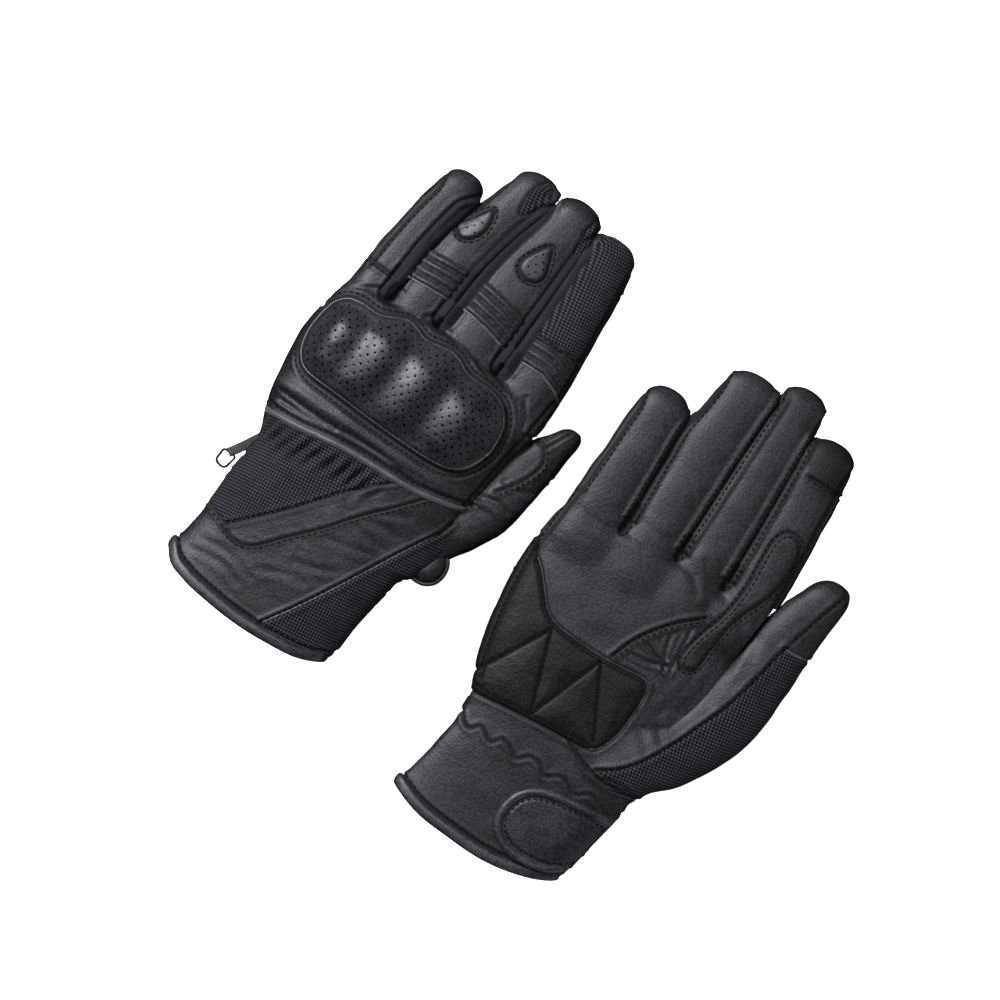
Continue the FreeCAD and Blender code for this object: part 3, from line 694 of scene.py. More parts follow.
THUMB_FOLDS = [[(60, 108), (68, 111), (76, 110)], [(62, 103), (70, 104), (78, 101)],
               [(66, 122), (72, 121), (80, 124)]]
RIB_STARTS = {"ring": [(-31, 172.8), (-9, 175.5)], "middle": [(0, 176.5), (14, 175.2), (27, 172.8)],
              "index": [(37, 172.8), (50, 173.6), (60, 170.5), (64, 167.5)]}
RIB_PITCH = 4.35
RIB_COUNT = 4
RIB_RISE = 2.0
RIB_SINK = 0.7          # how far the seams between the ribs are drawn in
FINGER_PADS = {
    "ring": [(-17, 224), (-14.5, 218), (-14.2, 212), (-17, 206), (-22, 203), (-26, 205),
             (-26.5, 209), (-23.5, 215), (-20, 221)],
    "middle": [(16, 226), (20, 219), (22, 213), (21, 208), (15.5, 205.5), (9.5, 208), (8.5, 213),
               (11, 219.5)],
}
TIP_WINDOWS = {
    "ring": [(-6.5, 230.5), (-7.8, 238), (-7, 246), (-4, 250.5), (0, 249), (1.5, 243), (-1, 235),
             (-4, 230)],
    "middle": [(25.8, 251), (28.6, 246), (28.5, 236), (27, 230), (25, 238)],
}
LITTLE_SEAM = [(-53, 168.8), (-46, 168.3), (-38, 168.5)]

# Palm, measured on the right glove.
HEEL_PAD = [(-52, 134), (-44, 128), (-38, 122.5), (-31, 114), (-26, 108.5), (-18, 105), (0, 103.6),
            (15, 104), (28, 105.2), (32.5, 104), (34.6, 98), (34.6, 86), (33.4, 75), (30, 66),
            (25.5, 62.3), (15, 61), (0, 60.2), (-20, 58.2), (-38, 56), (-52, 55)]
HEEL_ZIGZAG = [(-40, 66), (-20, 102), (-7, 62), (8, 101.5), (25.5, 67)]
CRESCENT_ARC = [(11.5, 106), (17, 119.5), (28, 134.5), (40, 145.5)]
GRIP_PATCH = [(55, 201.5), (60, 199), (62, 192), (62.5, 183), (60, 170), (55, 158), (51.5, 148),
              (50, 136), (49.5, 126), (47.5, 120.5), (43.5, 119), (40.3, 122), (40.5, 130),
              (43.5, 141), (47, 152), (49, 168), (48.2, 184), (48.2, 194), (50.5, 200)]
WRIST_SCALLOPS = [(-36, 46), (-32, 41.5), (-28, 40.5), (-24, 44.5), (-20, 42), (-16, 40.5),
                  (-12, 44.5), (-7, 43), (-2, 40), (4, 44.5), (10, 43.5), (14, 40), (21, 44),
                  (26, 43), (31, 40), (38, 44), (44, 42), (50, 40), (56, 44)]
WRIST_CURVE = [(16, 61), (22, 57), (30, 54), (40, 52.3), (50, 52.5), (58, 54)]
THUMB_MESH_EDGE = [(34, 55.5), (42, 61), (50, 70), (60, 88), (66, 102), (71, 114), (76, 133),
                   (80, 153)]
THUMB_MESH = [*THUMB_MESH_EDGE, (104, 155), (104, 50), (44, 50)]
THUMB_CAP = [(80, 153), (88, 153.2), (97, 155)]
THUMB_CAP_SEAM = [(80, 153), (83.5, 165), (87.5, 178), (91.5, 190)]
TOUCH_TIP_SEAM = [(45.5, 229), (66, 229)]
TOUCH_TIP_CORNERS = [(80, 275), (20, 275)]
PALM_FOLDS = [[(-40, 158), (-30, 156), (-19, 157.5)], [(-10, 168), (0, 167), (11, 169.5)],
              [(14, 166), (22, 162), (30, 153)], [(26, 168), (34, 160), (38, 150)],
              [(52, 158), (58, 148), (61, 130)], [(56, 135), (57, 118), (52, 100)],
              [(48, 132), (50, 115), (46, 96)], [(62, 145), (64, 128), (62, 112)],
              [(66, 150), (69, 138), (68, 124)], [(38, 100), (46, 92), (52, 84)],
              [(36, 88), (44, 82), (50, 76)]]
CRESCENT_FOLDS = [[(18, 112), (28, 113), (38, 117)], [(22, 120), (30, 117), (39, 114)],
                  [(30, 131), (32, 122), (36, 114)], [(37, 138), (38, 126), (39, 116)]]
STRAP = [(54.5, 39.8), (40, 38.9), (25, 37.3), (14, 34), (7, 27.5), (4, 19), (4.3, 11),
         (8, 4.2), (16, -0.3), (26, -1.5), (37, 0), (47, 4.5), (54.5, 9)]
STRAP_PAST_HINGE = [(70, 9), (70, 39.8)]
STRAP_THICK = 1.7
STRAP_EDGE_WIDE = 4.2
STRAP_STITCH_ROW = 5.6
STRAP_ROLL = [(55, 60), (58, 57.5), (64, 58), (68.5, 62), (69.5, 68), (67.5, 73.5), (63, 76),
              (58, 74), (55, 68)]


# Across a seam, in millimetres from its line: its swells, its painted shade, and the painted shade of a
# stitch row.
SWELL_PLACE = 1.9
SWELL_WIDTH = 1.1
SEAM_SHADE = 0.8
ROW_SHADE = 0.55
FOLD_SWELL = 0.45       # how much of a fold's depth swells up beside it
QUILT_REACH = 9.0       # how far from its seams the heel pad is at its full height
QUILT_RISE = 1.1
GATHER_MIDDLE = 9.0     # how far below the piping the pleats are deepest, and their spread
GATHER_REACH = 6.0
PLEAT_PITCH = 7.4


class Seam:
    """A sewn line: a groove between two soft swells, with rows of stitches beside it."""

    def __init__(self, line, view, depth=0.7, width=0.8, swell=0.25, rows=()):
        self.line, self.view = line, view
        self.depth, self.width, self.swell, self.rows = depth, width, swell, rows


class Region:
    """A panel cut from the skin: its outline in plan, and how far it stands proud."""

    def __init__(self, name, slot, look, view, outline, owners=None, proud=0.0, nodes=()):
        self.name, self.slot, self.look, self.view = name, slot, look, view
        self.outline, self.owners, self.proud, self.nodes = outline, owners, proud, nodes


def beside(line, offset):
    """An open line moved to its left by offset."""
    normal = tangents(line, False)[:, ::-1] * np.array([-1, 1])
    return line + normal * offset


def edge_at(tube, share, y, side):
    return tube.middle(y) + side * share * tube.half(y)


def knit_regions(glove):
    """The stretch-knit strips between the fingers, seen from the back and from the palm."""
    made, seams = [], []
    for view, table in (("back", BACK_EDGES), ("palm", PALM_EDGES)):
        for a, b in CROTCHES:
            bottom = CROTCHES[a, b][0 if view == "back" else 1]
            low, high = glove.digits[a], glove.digits[b]
            y = np.linspace(bottom + 4, 177, 12)
            left, right = edge_at(low, table[a][1], y, 1), edge_at(high, table[b][0], y, -1)
            least = 2.4 if view == "palm" else 6.0
            spare = np.maximum(least - (right - left), 0) / 2
            left, right = left - spare, right + spare
            turn = np.linspace(math.pi, 2 * math.pi, 9)[1:-1]
            centre, half = (left[0] + right[0]) / 2, (right[0] - left[0]) / 2
            arc = np.stack([centre + half * np.cos(turn), y[0] + 4 * np.sin(turn)], 1)
            down = np.stack([left, y], 1)[::-1]
            up = np.stack([right, y], 1)
            u_shape = np.vstack([down, arc, up])
            made.append(Region("fourchettes", "knit", "knit", view, u_shape, ["root"],
                               1.1 if view == "back" else 0.4, ("fourchettes",)))
            rows = (-1.6,) if view == "palm" else ()
            seams.append(Seam(even(u_shape[2:-2], LINE_STEP), view, 0.9, 0.8, 0.2, rows))
        for digit in FINGERS:
            tube = glove.digits[digit]
            for side, share in ((-1, table[digit][0]), (1, table[digit][1])):
                outer = (digit, side) in (("little", -1), ("index", 1))
                y = np.linspace(FINGER_CUT - 1, tube.tip - 3.5, 30)
                narrowing = step(tube.tip - 18, tube.tip - 3.5, y)
                inner = edge_at(tube, share + (1.05 - share) * narrowing, y, side)
                line = np.stack([inner, y], 1)
                swell = 0.15 if outer else 0.35
                rows = (side * 1.7,) if view == "palm" or outer else ()
                seams.append(Seam(even(line, LINE_STEP), view, 0.6, 0.7, swell, rows))
                if outer:
                    continue
                rim = edge_at(tube, 1.3, y, side)
                outline = np.vstack([line, np.stack([rim, y], 1)[::-1]])
                owners = [f"{digit}_lower", f"{digit}_upper"]
                made.append(Region("fourchette", "knit", "knit", view, outline, owners, 1.0))
    return made, seams


def finger_regions(glove):
    """Mesh and leather patches on the fingers."""
    made, seams = [], []
    index = glove.digits["index"]
    shares = BACK_EDGES["index"]
    top = carry([(48, 189.5)], "back", glove, "index")[0, 1]
    y = np.linspace(top, index.tip + 2, 24)
    mesh = np.vstack([np.stack([edge_at(index, shares[0], y, -1), y], 1),
                      np.stack([edge_at(index, shares[1] + 0.2 * step(index.tip - 30, index.tip, y),
                                        y, 1), y], 1)[::-1]])
    owners = ["index_lower", "index_upper"]
    made.append(Region("back_mesh", "mesh", "mesh", "back", mesh, owners))
    root_end = even(mesh[[0, -1]], LINE_STEP)
    seams.append(Seam(root_end, "back", 0.7, 0.8, 0.3, (-1.3,)))
    little = glove.digits["little"]
    y = np.linspace(FINGER_CUT + 2.5, little.tip - 24, 12)
    strip = np.vstack([np.stack([edge_at(little, 0.8, y, -1), y], 1),
                       np.stack([edge_at(little, 1.3, y, -1), y], 1)[::-1]])
    made.append(Region("side_mesh", "mesh", "mesh", "back", strip, ["little_lower", "little_upper"]))
    for digit, outline in TIP_WINDOWS.items():
        placed = carry(smooth_line(outline, True, 1.0), "back", glove, digit)
        made.append(Region("tip_mesh", "mesh", "mesh", "back", placed, [f"{digit}_upper"], -0.3))
        seams.append(Seam(placed, "back", 0.5, 0.6, 0.2))
    for digit, outline in FINGER_PADS.items():
        placed = carry(smooth_line(outline, True, 1.0), "back", glove, digit)
        made.append(Region("finger_pad", "guard_leather", "pad", "back", placed,
                           [f"{digit}_lower", f"{digit}_upper"], 1.0, (f"{digit}_finger_pad",)))
        seams.append(Seam(placed, "back", 0.8, 0.6, 0.0))
        seams.append(Seam(grow(placed, 1.5), "back", 0.15, 0.5, 0.0, (0.0,)))
    tip = carry(even(np.array(TOUCH_TIP_SEAM, float), LINE_STEP), "palm", glove, "index")
    outline = np.vstack([tip, TOUCH_TIP_CORNERS])
    made.append(Region("touch_tip", "touch_leather", "touch", "palm", outline, ["index_upper"],
                       0.0, ("index_touch_tip",)))
    seams.append(Seam(tip, "palm", 0.6, 0.7, 0.3, (1.3, -1.3)))
    return made, seams


def hand_regions(glove):
    """Mesh panels and pads of the hand, the cuff and the thumb, with their seams."""
    def back(points, closed=False, digit=None):
        return carry(smooth_line(points, closed), "back", glove, digit)

    def palm(points, closed=False):
        return carry(smooth_line(points, closed), "palm", glove)

    wrist_mesh = even(np.array(WRIST_MESH + WRIST_MESH[:1], float), 2.0)
    heel = palm(HEEL_PAD, True)
    grip = smooth_line(GRIP_PATCH, True, 1.0)
    grip = np.where(grip[:, 1:] > FINGER_CUT, carry(grip, "palm", glove, "index"),
                    carry(grip, "palm", glove)) if glove.side == "left" else grip
    thumb_mesh = carry_thumb(np.array(THUMB_MESH, float), glove)
    regions = [
        Region("wrist_mesh", "mesh", "mesh", "back", carry(wrist_mesh, "back", glove)),
        Region("cuff_side_mesh", "mesh", "mesh", "back",
               carry(np.array(SIDE_MESH, float), "back", glove), ["root"], 0.0, ("cuff_gusset",)),
        Region("grip_patch", "leather", "leather", "palm", grip, None, 0.85, ("grip_patch",)),
        Region("heel_pad", "leather", "heel", "palm", heel, ["root"], 0.7, ("heel_pad",)),
        Region("thumb_mesh", "mesh", "mesh", "palm", thumb_mesh),
    ]
    seams = [
        Seam(back(BAND_EDGE), "back", 0.5, 0.6, 0.25, (-1.4,)),
        Seam(back(BAND_SEAM), "back", 0.7, 0.6, 0.15, (1.3,)),
        Seam(back(SIDE_SEAM), "back", 0.6, 0.7, 0.5, (1.6,)),
        Seam(back([(-44, 27.5), (-36, 25.5), (-29, 24)]), "back", 0.5, 0.7, 0.4, (-1.4,)),
        Seam(grow(back(GUARD, True), 1.1), "back", 0.9, 1.0, 0.0),
        Seam(grow(back(GUARD, True), 3.0), "back", 0.35, 0.7, 0.35, (0.0,)),
        Seam(beside(back(PIPING), 3.2), "back", 0.5, 0.8, 0.5, (0.0,)),
        Seam(back(LITTLE_SEAM), "back", 0.6, 0.7, 0.3, (-1.3,)),
        Seam(heel, "palm", 0.5, 0.8, 0.2),
        Seam(grow(heel, -2.2), "palm", 0.45, 0.7, 0.0, (0.0,)),
        Seam(palm([(-38, 59.6), (0, 62.6), (24, 64.8)]), "palm", 0.3, 0.6, 0.0, (0.0,)),
        Seam(carry(even(np.array(HEEL_ZIGZAG, float), LINE_STEP), "palm", glove), "palm",
             0.6, 0.7, 0.0, (0.0,)),
        Seam(palm(CRESCENT_ARC), "palm", 0.6, 0.7, 0.5, (1.4, -1.4)),
        Seam(grow(grip, 0.3), "palm", 0.5, 0.6, 0.0),
        Seam(grow(grip, -1.4), "palm", 0.2, 0.5, 0.0, (0.0,)),
        Seam(grow(grip, 1.5), "palm", 0.1, 0.5, 0.0, (0.0,)),
        Seam(palm(WRIST_SCALLOPS), "palm", 0.55, 0.7, 0.3),
        Seam(palm(WRIST_CURVE), "palm", 0.6, 0.8, 0.4, (1.4,)),
        Seam(carry_thumb(smooth_line(THUMB_MESH_EDGE), glove), "palm", 0.7, 0.8, 0.4, (1.5,)),
        Seam(carry_thumb(smooth_line(THUMB_CAP), glove), "palm", 0.8, 0.7, 0.4),
        Seam(carry_thumb(smooth_line(THUMB_CAP_SEAM), glove), "palm", 0.5, 0.6, 0.3, (0.9,)),
        Seam(back(THUMB_OVAL, False, "thumb"), "back", 0.6, 0.8, 0.4, (1.5,)),
        Seam(back(THUMB_SEAM, False, "thumb"), "back", 0.5, 0.7, 0.3),
    ]
    y = np.linspace(64, 226, 50)
    low = np.stack([glove.low_edge(np.minimum(y, HAND_END)) + 3.2, y], 1)
    seams.append(Seam(low[y < FINGER_CUT + 1], "palm", 0.5, 0.7, 0.3, (1.5,)))
    high = np.stack([glove.high_edge(y) - 2.6, y], 1)
    seams.append(Seam(high[(y < FINGER_CUT + 1) & (y > THUMB_CUT + 3)], "back", 0.6, 0.7, 0.3))
    x = np.linspace(-60, 62, 40)
    hem_line = np.stack([x, glove.hem(x) + 5.4], 1)
    for view in ("back", "palm"):
        seams.append(Seam(hem_line, view, 0.6, 0.7, 0.3, (1.4,)))
    folds = [(back(f), "back", 1.6, -0.22) for f in WRIST_FOLDS]
    folds += [(back(f), "back", 1.1, -0.4) for f in BACK_FOLDS]
    folds += [(back(KNUCKLE_ROLL), "back", 3.2, 1.3)]
    folds += [(back(f, False, "thumb"), "back", 1.3, -0.4) for f in THUMB_FOLDS]
    folds += [(palm(f), "palm", 2.2, -0.28) for f in PALM_FOLDS]
    folds += [(palm(f), "palm", 0.9, -0.5) for f in CRESCENT_FOLDS]
    return regions, seams, folds


def carry_thumb(points, glove):
    """A palm feature that runs from the hand onto the thumb, on this glove."""
    if glove.side == MEASURED["palm"]:
        return points
    return np.where(points[:, 1:] > THUMB_CUT - 20, carry(points, "palm", glove, "thumb"),
                    carry(points, "palm", glove))


def relief(glove, points, normals):
    """How far the sewn skin stands out from its smooth shape at each point, and its painted shade."""
    x, y, z = points.T
    crease_shade = np.zeros(len(x))
    facing = {"back": step(-0.15, 0.2, normals[:, 2]), "palm": step(-0.15, 0.2, -normals[:, 2])}
    total = 0.4 * noise(points, (13, 10, 13)) + 0.06 * noise(points + 50, (4.2, 2.2, 4.2))
    for seam in glove.seams:
        d = line_distance(x, y, seam.line)
        groove = -seam.depth * bell(d, seam.width)
        swells = seam.swell * bell(d - SWELL_PLACE, SWELL_WIDTH)
        total += (groove + swells) * facing[seam.view]
        # Painted shade along the seam's groove and beside its stitch rows, darker for a deeper groove.
        dark = bell(d, SEAM_SHADE) * min(1.0, seam.depth * 1.6)
        for row in seam.rows:
            from_row = np.abs(d - abs(row)) if row else d
            dark = np.maximum(dark, 0.6 * bell(from_row, ROW_SHADE))
        crease_shade = np.maximum(crease_shade, dark * facing[seam.view])
    for line, view, width, depth in glove.folds:
        d = line_distance(x, y, line)
        swells = FOLD_SWELL * bell(d - 2.2 * width, width)
        total += depth * (bell(d, width) - swells) * facing[view]
    for region in glove.regions:
        if region.proud:
            d = outline_distance(x, y, region.outline)
            total += region.proud * step(0.3, -1.6, d) * facing[region.view]
    # ribs() also gives the painted shade in the grooves between the ribs, here called folds.
    padding, folds = ribs(glove, x, y)
    total += padding * facing["back"]
    crease_shade = np.maximum(crease_shade, folds * facing["back"])
    total += gathers(glove, points) * facing["back"]
    quilt = outline_distance(x, y, carry(smooth_line(HEEL_PAD, True), "palm", glove), 20.0)
    zigzag = line_distance(x, y, carry(np.array(HEEL_ZIGZAG, float), "palm", glove), 20.0)
    from_seam = np.minimum(-quilt, zigzag)
    puff = np.sqrt(np.clip(from_seam / QUILT_REACH, 0, 1)) * step(0, -2, quilt)
    total += QUILT_RISE * puff * facing["palm"]
    return total, crease_shade


def ribs(glove, x, y):
    """The padded accordion ribs over the first joint of three fingers, and the painted shade between
    them.
    """
    total, dark = np.zeros(len(x)), np.zeros(len(x))
    for digit, start in RIB_STARTS.items():
        tube = glove.digits[digit]
        line = np.array(start, float)
        placed = carry(line, "back", glove, digit)
        low = np.interp(x, placed[:, 0], placed[:, 1])
        along = (y - low) / RIB_PITCH
        across = np.abs(x - tube.middle(y)) / tube.half(y)
        shares = BACK_EDGES[digit]
        limit = np.where(x < tube.middle(y), shares[0], shares[1])
        within = step(limit + 0.02, limit - 0.08, across) * (along > 0) * (along < RIB_COUNT)
        wave = np.abs(np.sin(math.pi * np.clip(along, 0, RIB_COUNT))) ** 0.5
        total += (RIB_RISE * wave - RIB_SINK) * within
        # Painted shade in the grooves between the ribs.
        dark = np.maximum(dark, (1 - wave) ** 1.2 * within)
    return total, dark


def gathers(glove, points):
    """The pleats that elastic pulls into the wrist, under the piping."""
    x, y, _ = points.T
    line = carry(np.array(PIPING, float), "back", glove)
    below = np.interp(x, line[:, 0], line[:, 1]) - y
    pull = bell(below - GATHER_MIDDLE, GATHER_REACH) * step(26, 12, x) * (below > 0)
    wander = 3.4 * noise(points, (14, 18, 60))
    pleats = np.cos(2 * math.pi * (x + 0.25 * below) / PLEAT_PITCH + wander)
    uneven = 0.75 + 0.6 * noise(points + 20, (9, 12, 60))
    lumps = 0.9 * noise(points + 70, (8, 6, 60)) * bell(below - 20, 12.0)
    return (1.4 * pleats - 0.8) * uneven * pull + lumps * step(20, 6, x) * (below > 0)


# ---------------------------------------------------------------- sewing a glove together

def make_skin(glove):
    """The glove's patches: the root and two lengths of each digit."""
    points, faces = skin(glove.root_distance, (-64, -17, -1.6), (90, FINGER_CUT + 5, 34))
    points = settle(points, glove.root_distance, 2)
    points, faces = refine(points, faces)
    points = settle(points, glove.root_distance, 1)
    root = Patch(points, normals_of(points, faces), faces, "root")
    x, y, _ = root.points.T
    root = root.split(y - FINGER_CUT)[0]
    root = root.split(glove.hem(root.points[:, 0]) - root.points[:, 1])[0]
    thumb, hand = glove.digits["thumb"], glove.hand
    over = np.maximum(thumb.distance(root.points) - hand.distance(root.points),
                      THUMB_CUT - root.points[:, 1])
    patches = [root.split(over)[1]]
    for digit in DIGITS:
        start = THUMB_CUT if digit == "thumb" else FINGER_CUT
        points, faces = tube_grid(glove.digits[digit], start)
        whole = Patch(points, normals_of(points, faces), faces, f"{digit}_lower")
        lower, upper = whole.split(points[:, 1] - glove.cuts[digit])
        upper.owner = f"{digit}_upper"
        patches += [lower, upper]
    return patches


def cut_regions(glove, patches):
    """Cuts the regions out of the patches: the patches in a region, and the rest."""
    done = []
    for region in glove.regions:
        low, high = region.outline.min(0), region.outline.max(0)
        rest = []
        for patch in patches:
            allowed = region.owners is None or patch.owner in region.owners
            p = patch.points
            if not allowed or len(p) == 0 or (p[:, :2].max(0) < low).any() or (
                    p[:, :2].min(0) > high).any():
                rest.append(patch)
                continue
            side = SPLIT_LEVEL - p[:, 2] if region.view == "back" else p[:, 2] - SPLIT_LEVEL
            field = np.maximum(outline_distance(p[:, 0], p[:, 1], region.outline), side)
            cut, left = patch.split(field)
            if len(cut.faces):
                cut.region = region
                done.append(cut)
            if len(left.faces):
                rest.append(left)
        patches = rest
    return done, patches


def divide_root(glove, patch):
    """The root's leather as four panels: back and palm of the hand, back and palm of the cuff."""
    back, palm = patch.split(SPLIT_LEVEL - patch.points[:, 2])
    line = carry(np.array(PIPING, float), "back", glove)
    p = back.points
    cuff_back, hand_back = back.split(p[:, 1] - np.interp(p[:, 0], line[:, 0], line[:, 1]))
    cuff_palm, hand_palm = palm.split(palm.points[:, 1] - PALM_CUFF_END)
    return {"hand_back": hand_back, "cuff_back": cuff_back, "hand_palm": hand_palm,
            "cuff_palm": cuff_palm}


class Panel:
    """A patch with its relief, and the piece, looks and CAD nodes that it belongs to."""

    def __init__(self, glove, name, patch, nodes, slot="leather", look="leather"):
        self.name, self.patch, self.nodes, self.slot, self.look = name, patch, nodes, slot, look
        height, self.crease_shade = relief(glove, patch.points, patch.normals)
        self.points = patch.points + patch.normals * height[:, None]
        self.normals = patch.normals


def make_panels(glove):
    """The whole skin: the leather of the root and of the digits, then every region."""
    cut, rest = cut_regions(glove, make_skin(glove))
    panels = []
    for patch in rest:
        if patch.owner == "root":
            for name, part in divide_root(glove, patch).items():
                panels.append(Panel(glove, name, part, (name,)))
        else:
            digit, length = patch.owner.split("_")
            node = f"{digit}_base" if length == "lower" else f"{digit}_tip"
            panels.append(Panel(glove, patch.owner, patch, (node,)))
    for patch in cut:
        region = patch.region
        panels.append(Panel(glove, f"{patch.owner}_{region.name}", patch, region.nodes, region.slot,
                            region.look))
    return panels


def join(panels):
    """All panels as one mesh: its points, its faces, and where each panel's points start."""
    starts = np.cumsum([0] + [len(p.points) for p in panels])
    faces = np.vstack([p.patch.faces + start for p, start in zip(panels, starts)])
    return np.vstack([p.points for p in panels]), faces, starts


def weld_normals(panels):
    """Gives one normal to points of different panels that lie in the same place."""
    points, faces, starts = join(panels)
    keys = np.round(points * 500).astype(np.int64)
    key = (keys[:, 0] * 1_000_003 + keys[:, 1]) * 1_000_003 + keys[:, 2]
    _, place = np.unique(key, return_inverse=True)
    normals = normals_of(points, faces, place)
    for each, first, last in zip(panels, starts[:-1], starts[1:]):
        each.normals = normals[first:last]


class Surface:
    """A mesh that features are laid on, looked up from above or below."""

    def __init__(self, points, faces, owners):
        self.tree = BVHTree.FromPolygons(points.tolist(), faces.tolist())
        self.owners = owners

    def land(self, x, y, view):
        """Place, normal and owner of the skin at x, y as seen from that side."""
        start, way = (60.0, -1.0) if view == "back" else (-40.0, 1.0)
        spot, normal, index, _ = self.tree.ray_cast(Vector((x, y, start)), Vector((0, 0, way)))
        if spot is None:
            return None
        return np.array(spot), np.array(normal), self.owners[index]


# Rings of one stitch: place along it, radius, height over the skin.
STITCH_RINGS = [(-1.1, 0.18, -0.15), (-0.7, 0.4, 0.08), (0.7, 0.4, 0.08), (1.1, 0.18, -0.15)]


def stitches(surface, line, view):
    """Thread along a line: (owner, points, faces) for every stitch."""
    made = []
    path = even(line, STITCH_PITCH)
    for a, b in zip(path[:-1], path[1:]):
        middle, along = (a + b) / 2, b - a
        found = surface.land(middle[0], middle[1], view)
        if found is None or abs(found[1][2]) < 0.25:
            continue
        spot, normal, owner = found
        way = np.array([along[0], along[1], 0.0])
        way = unit(way - normal * (way @ normal))
        side = np.cross(normal, way)
        rings = []
        for at, radius, lift in STITCH_RINGS:
            turn = np.arange(5) * 2 * math.pi / 5
            rings.append(spot + way * at + normal * lift
                         + radius * (np.cos(turn)[:, None] * side + np.sin(turn)[:, None] * normal))
        k = np.arange(5)
        faces = []
        for r in range(3):
            low, high = r * 5 + k, r * 5 + (k + 1) % 5
            faces += [np.stack([low, high, high + 5], 1), np.stack([low, high + 5, low + 5], 1)]
        faces.append(np.array([[0, 2, 1], [0, 3, 2], [0, 4, 3]]))
        faces.append(np.array([[15, 16, 17], [15, 17, 18], [15, 18, 19]]))
        made.append((owner, np.vstack(rings), np.vstack(faces)))
    return made


def cord_on(surface, line, view, wide, high, closed=False, lift=0.0, profile_points=12):
    """A piping laid along a line on the skin."""
    spots, ups = [], []
    for x, y in line:
        found = surface.land(x, y, view)
        if found is None:
            continue
        spots.append(found[0])
        ups.append(found[1])
    spots, ups = np.array(spots), np.array(ups)
    for _ in range(3):
        middle = (np.roll(ups, 1, 0) + ups + np.roll(ups, -1, 0)) / 3
        ups = middle if closed else np.vstack([ups[:1], middle[1:-1], ups[-1:]])
    ups = unit(ups)
    along = tangents(spots, closed)
    across = unit(np.cross(along, ups))
    return sweep(spots + ups * lift, across, ups, oval(wide, high, profile_points), closed)


# ---------------------------------------------------------------- overlays

def plan_patch(outline, spacing):
    """A flat grid of triangles trimmed to an outline."""
    low, high = outline.min(0) - spacing, outline.max(0) + spacing
    x, y = np.arange(low[0], high[0], spacing), np.arange(low[1], high[1], spacing)
    gx, gy = np.meshgrid(x, y, indexing="ij")
    points = np.stack([gx.ravel(), gy.ravel(), gx.ravel() * 0], 1)
    i, j = np.meshgrid(np.arange(len(x) - 1), np.arange(len(y) - 1), indexing="ij")
    a = (i * len(y) + j).ravel()
    faces = np.vstack([np.stack([a, a + len(y), a + len(y) + 1], 1),
                       np.stack([a, a + len(y) + 1, a + 1], 1)])
    flat = Patch(points, points * 0 + [0, 0, 1.0], faces, "root")
    return flat.split(outline_distance(points[:, 0], points[:, 1], outline))[0]


def level_of(distance, x, y, view):
    """Height of the smooth skin at x, y, from the back or from the palm."""
    way = 1.0 if view == "back" else -1.0
    z = np.full(len(x), HEIGHT if view == "back" else -1.0)
    for _ in range(40):
        d = distance(np.stack([x, y, z], 1))
        z = z - way * np.clip(d, -2, 2) * 0.7
    return z


GUARD_ROLL = 3.0        # width of the guard's rounded edge
GUARD_RISE = 2.5
DOME_RISE = 5.4
GUARD_HOLE = 0.66       # radius of its punched holes, and their spacing across and along
GUARD_HOLE_PITCH = (4.9, 2.75)


def guard_height(x, y, edge):
    """Height of the knuckle guard over the hand: a rolled edge and four domes with their ridges."""
    rise = GUARD_RISE * quarter_round(edge, GUARD_ROLL)
    total = np.zeros(len(x))
    for cx, cy, wide in DOMES:
        across = np.exp(-0.8 * ((x - cx) / wide) ** 2)
        above = np.exp(-0.9 * (np.maximum(y - cy, 0) / 11.0) ** 2)
        below = 1 - step(0, 1, (cy - y) / (cy - 100.0))
        total += (across * np.where(y > cy, above, 0.35 + 0.65 * below)) ** 2
    domes = DOME_RISE * np.sqrt(total) * step(-2, 11, edge)
    return rise + domes


def hole_grid(outline, margin, pitch_x, pitch_y):
    """Places of staggered holes within an outline."""
    low, high = outline.min(0), outline.max(0)
    spots = []
    for row, y in enumerate(np.arange(low[1], high[1], pitch_y)):
        for x in np.arange(low[0] + (row % 2) * pitch_x / 2, high[0], pitch_x):
            spots.append((x, y))
    spots = np.array(spots)
    d = outline_distance(spots[:, 0], spots[:, 1], outline)
    return spots[d < -margin]


def make_guard(glove):
    """The perforated knuckle guard, its rolled edge and its foam, as one sewn-on piece."""
    outline = carry(smooth_line(GUARD, True), "back", glove)
    sheet = plan_patch(outline[:-1], 0.5)
    x, y, _ = sheet.points.T
    edge = -outline_distance(x, y, outline, 30.0)
    base = level_of(glove.hand.distance, x, y, "back")
    measured = across_hand(x, y, glove, GLOVES[MEASURED["back"]])
    height = guard_height(measured[:, 0], measured[:, 1], edge)
    spots = hole_grid(outline, GUARD_ROLL, *GUARD_HOLE_PITCH)
    near = np.full(len(x), 9.0)
    for sx, sy in spots:
        close = (np.abs(x - sx) < 2) & (np.abs(y - sy) < 2)
        near[close] = np.minimum(near[close], np.hypot(x[close] - sx, y[close] - sy))
    height = height - 0.12 * bell(near, 0.7)
    height += 0.12 * noise(np.stack([x, y, x * 0], 1), (5, 5, 5))
    points = np.stack([x, y, base + height], 1)
    normals = normals_of(points, sheet.faces)
    shell, faces = thicken(points, normals, sheet.faces, 1.6)
    piece = Piece(f"{glove.side}_knuckle_guard", "guard_leather")
    piece.add(shell, faces, "guard")
    cover = Surface(points, sheet.faces, ["root"] * len(sheet.faces))
    piece.add(*punch_marks(cover, spots, "back", GUARD_HOLE), "hole")
    rolled = grow(outline, -0.5)[:-1]
    piece.add(*cord_on(cover, rolled, "back", 0.8, 0.75, True, -0.15), "edge")
    obj = piece.build(glove)
    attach(obj, f"{glove.side}_hand")
    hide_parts(f"{glove.side}_knuckle_guard", f"{glove.side}_knuckle_foam")
    return obj


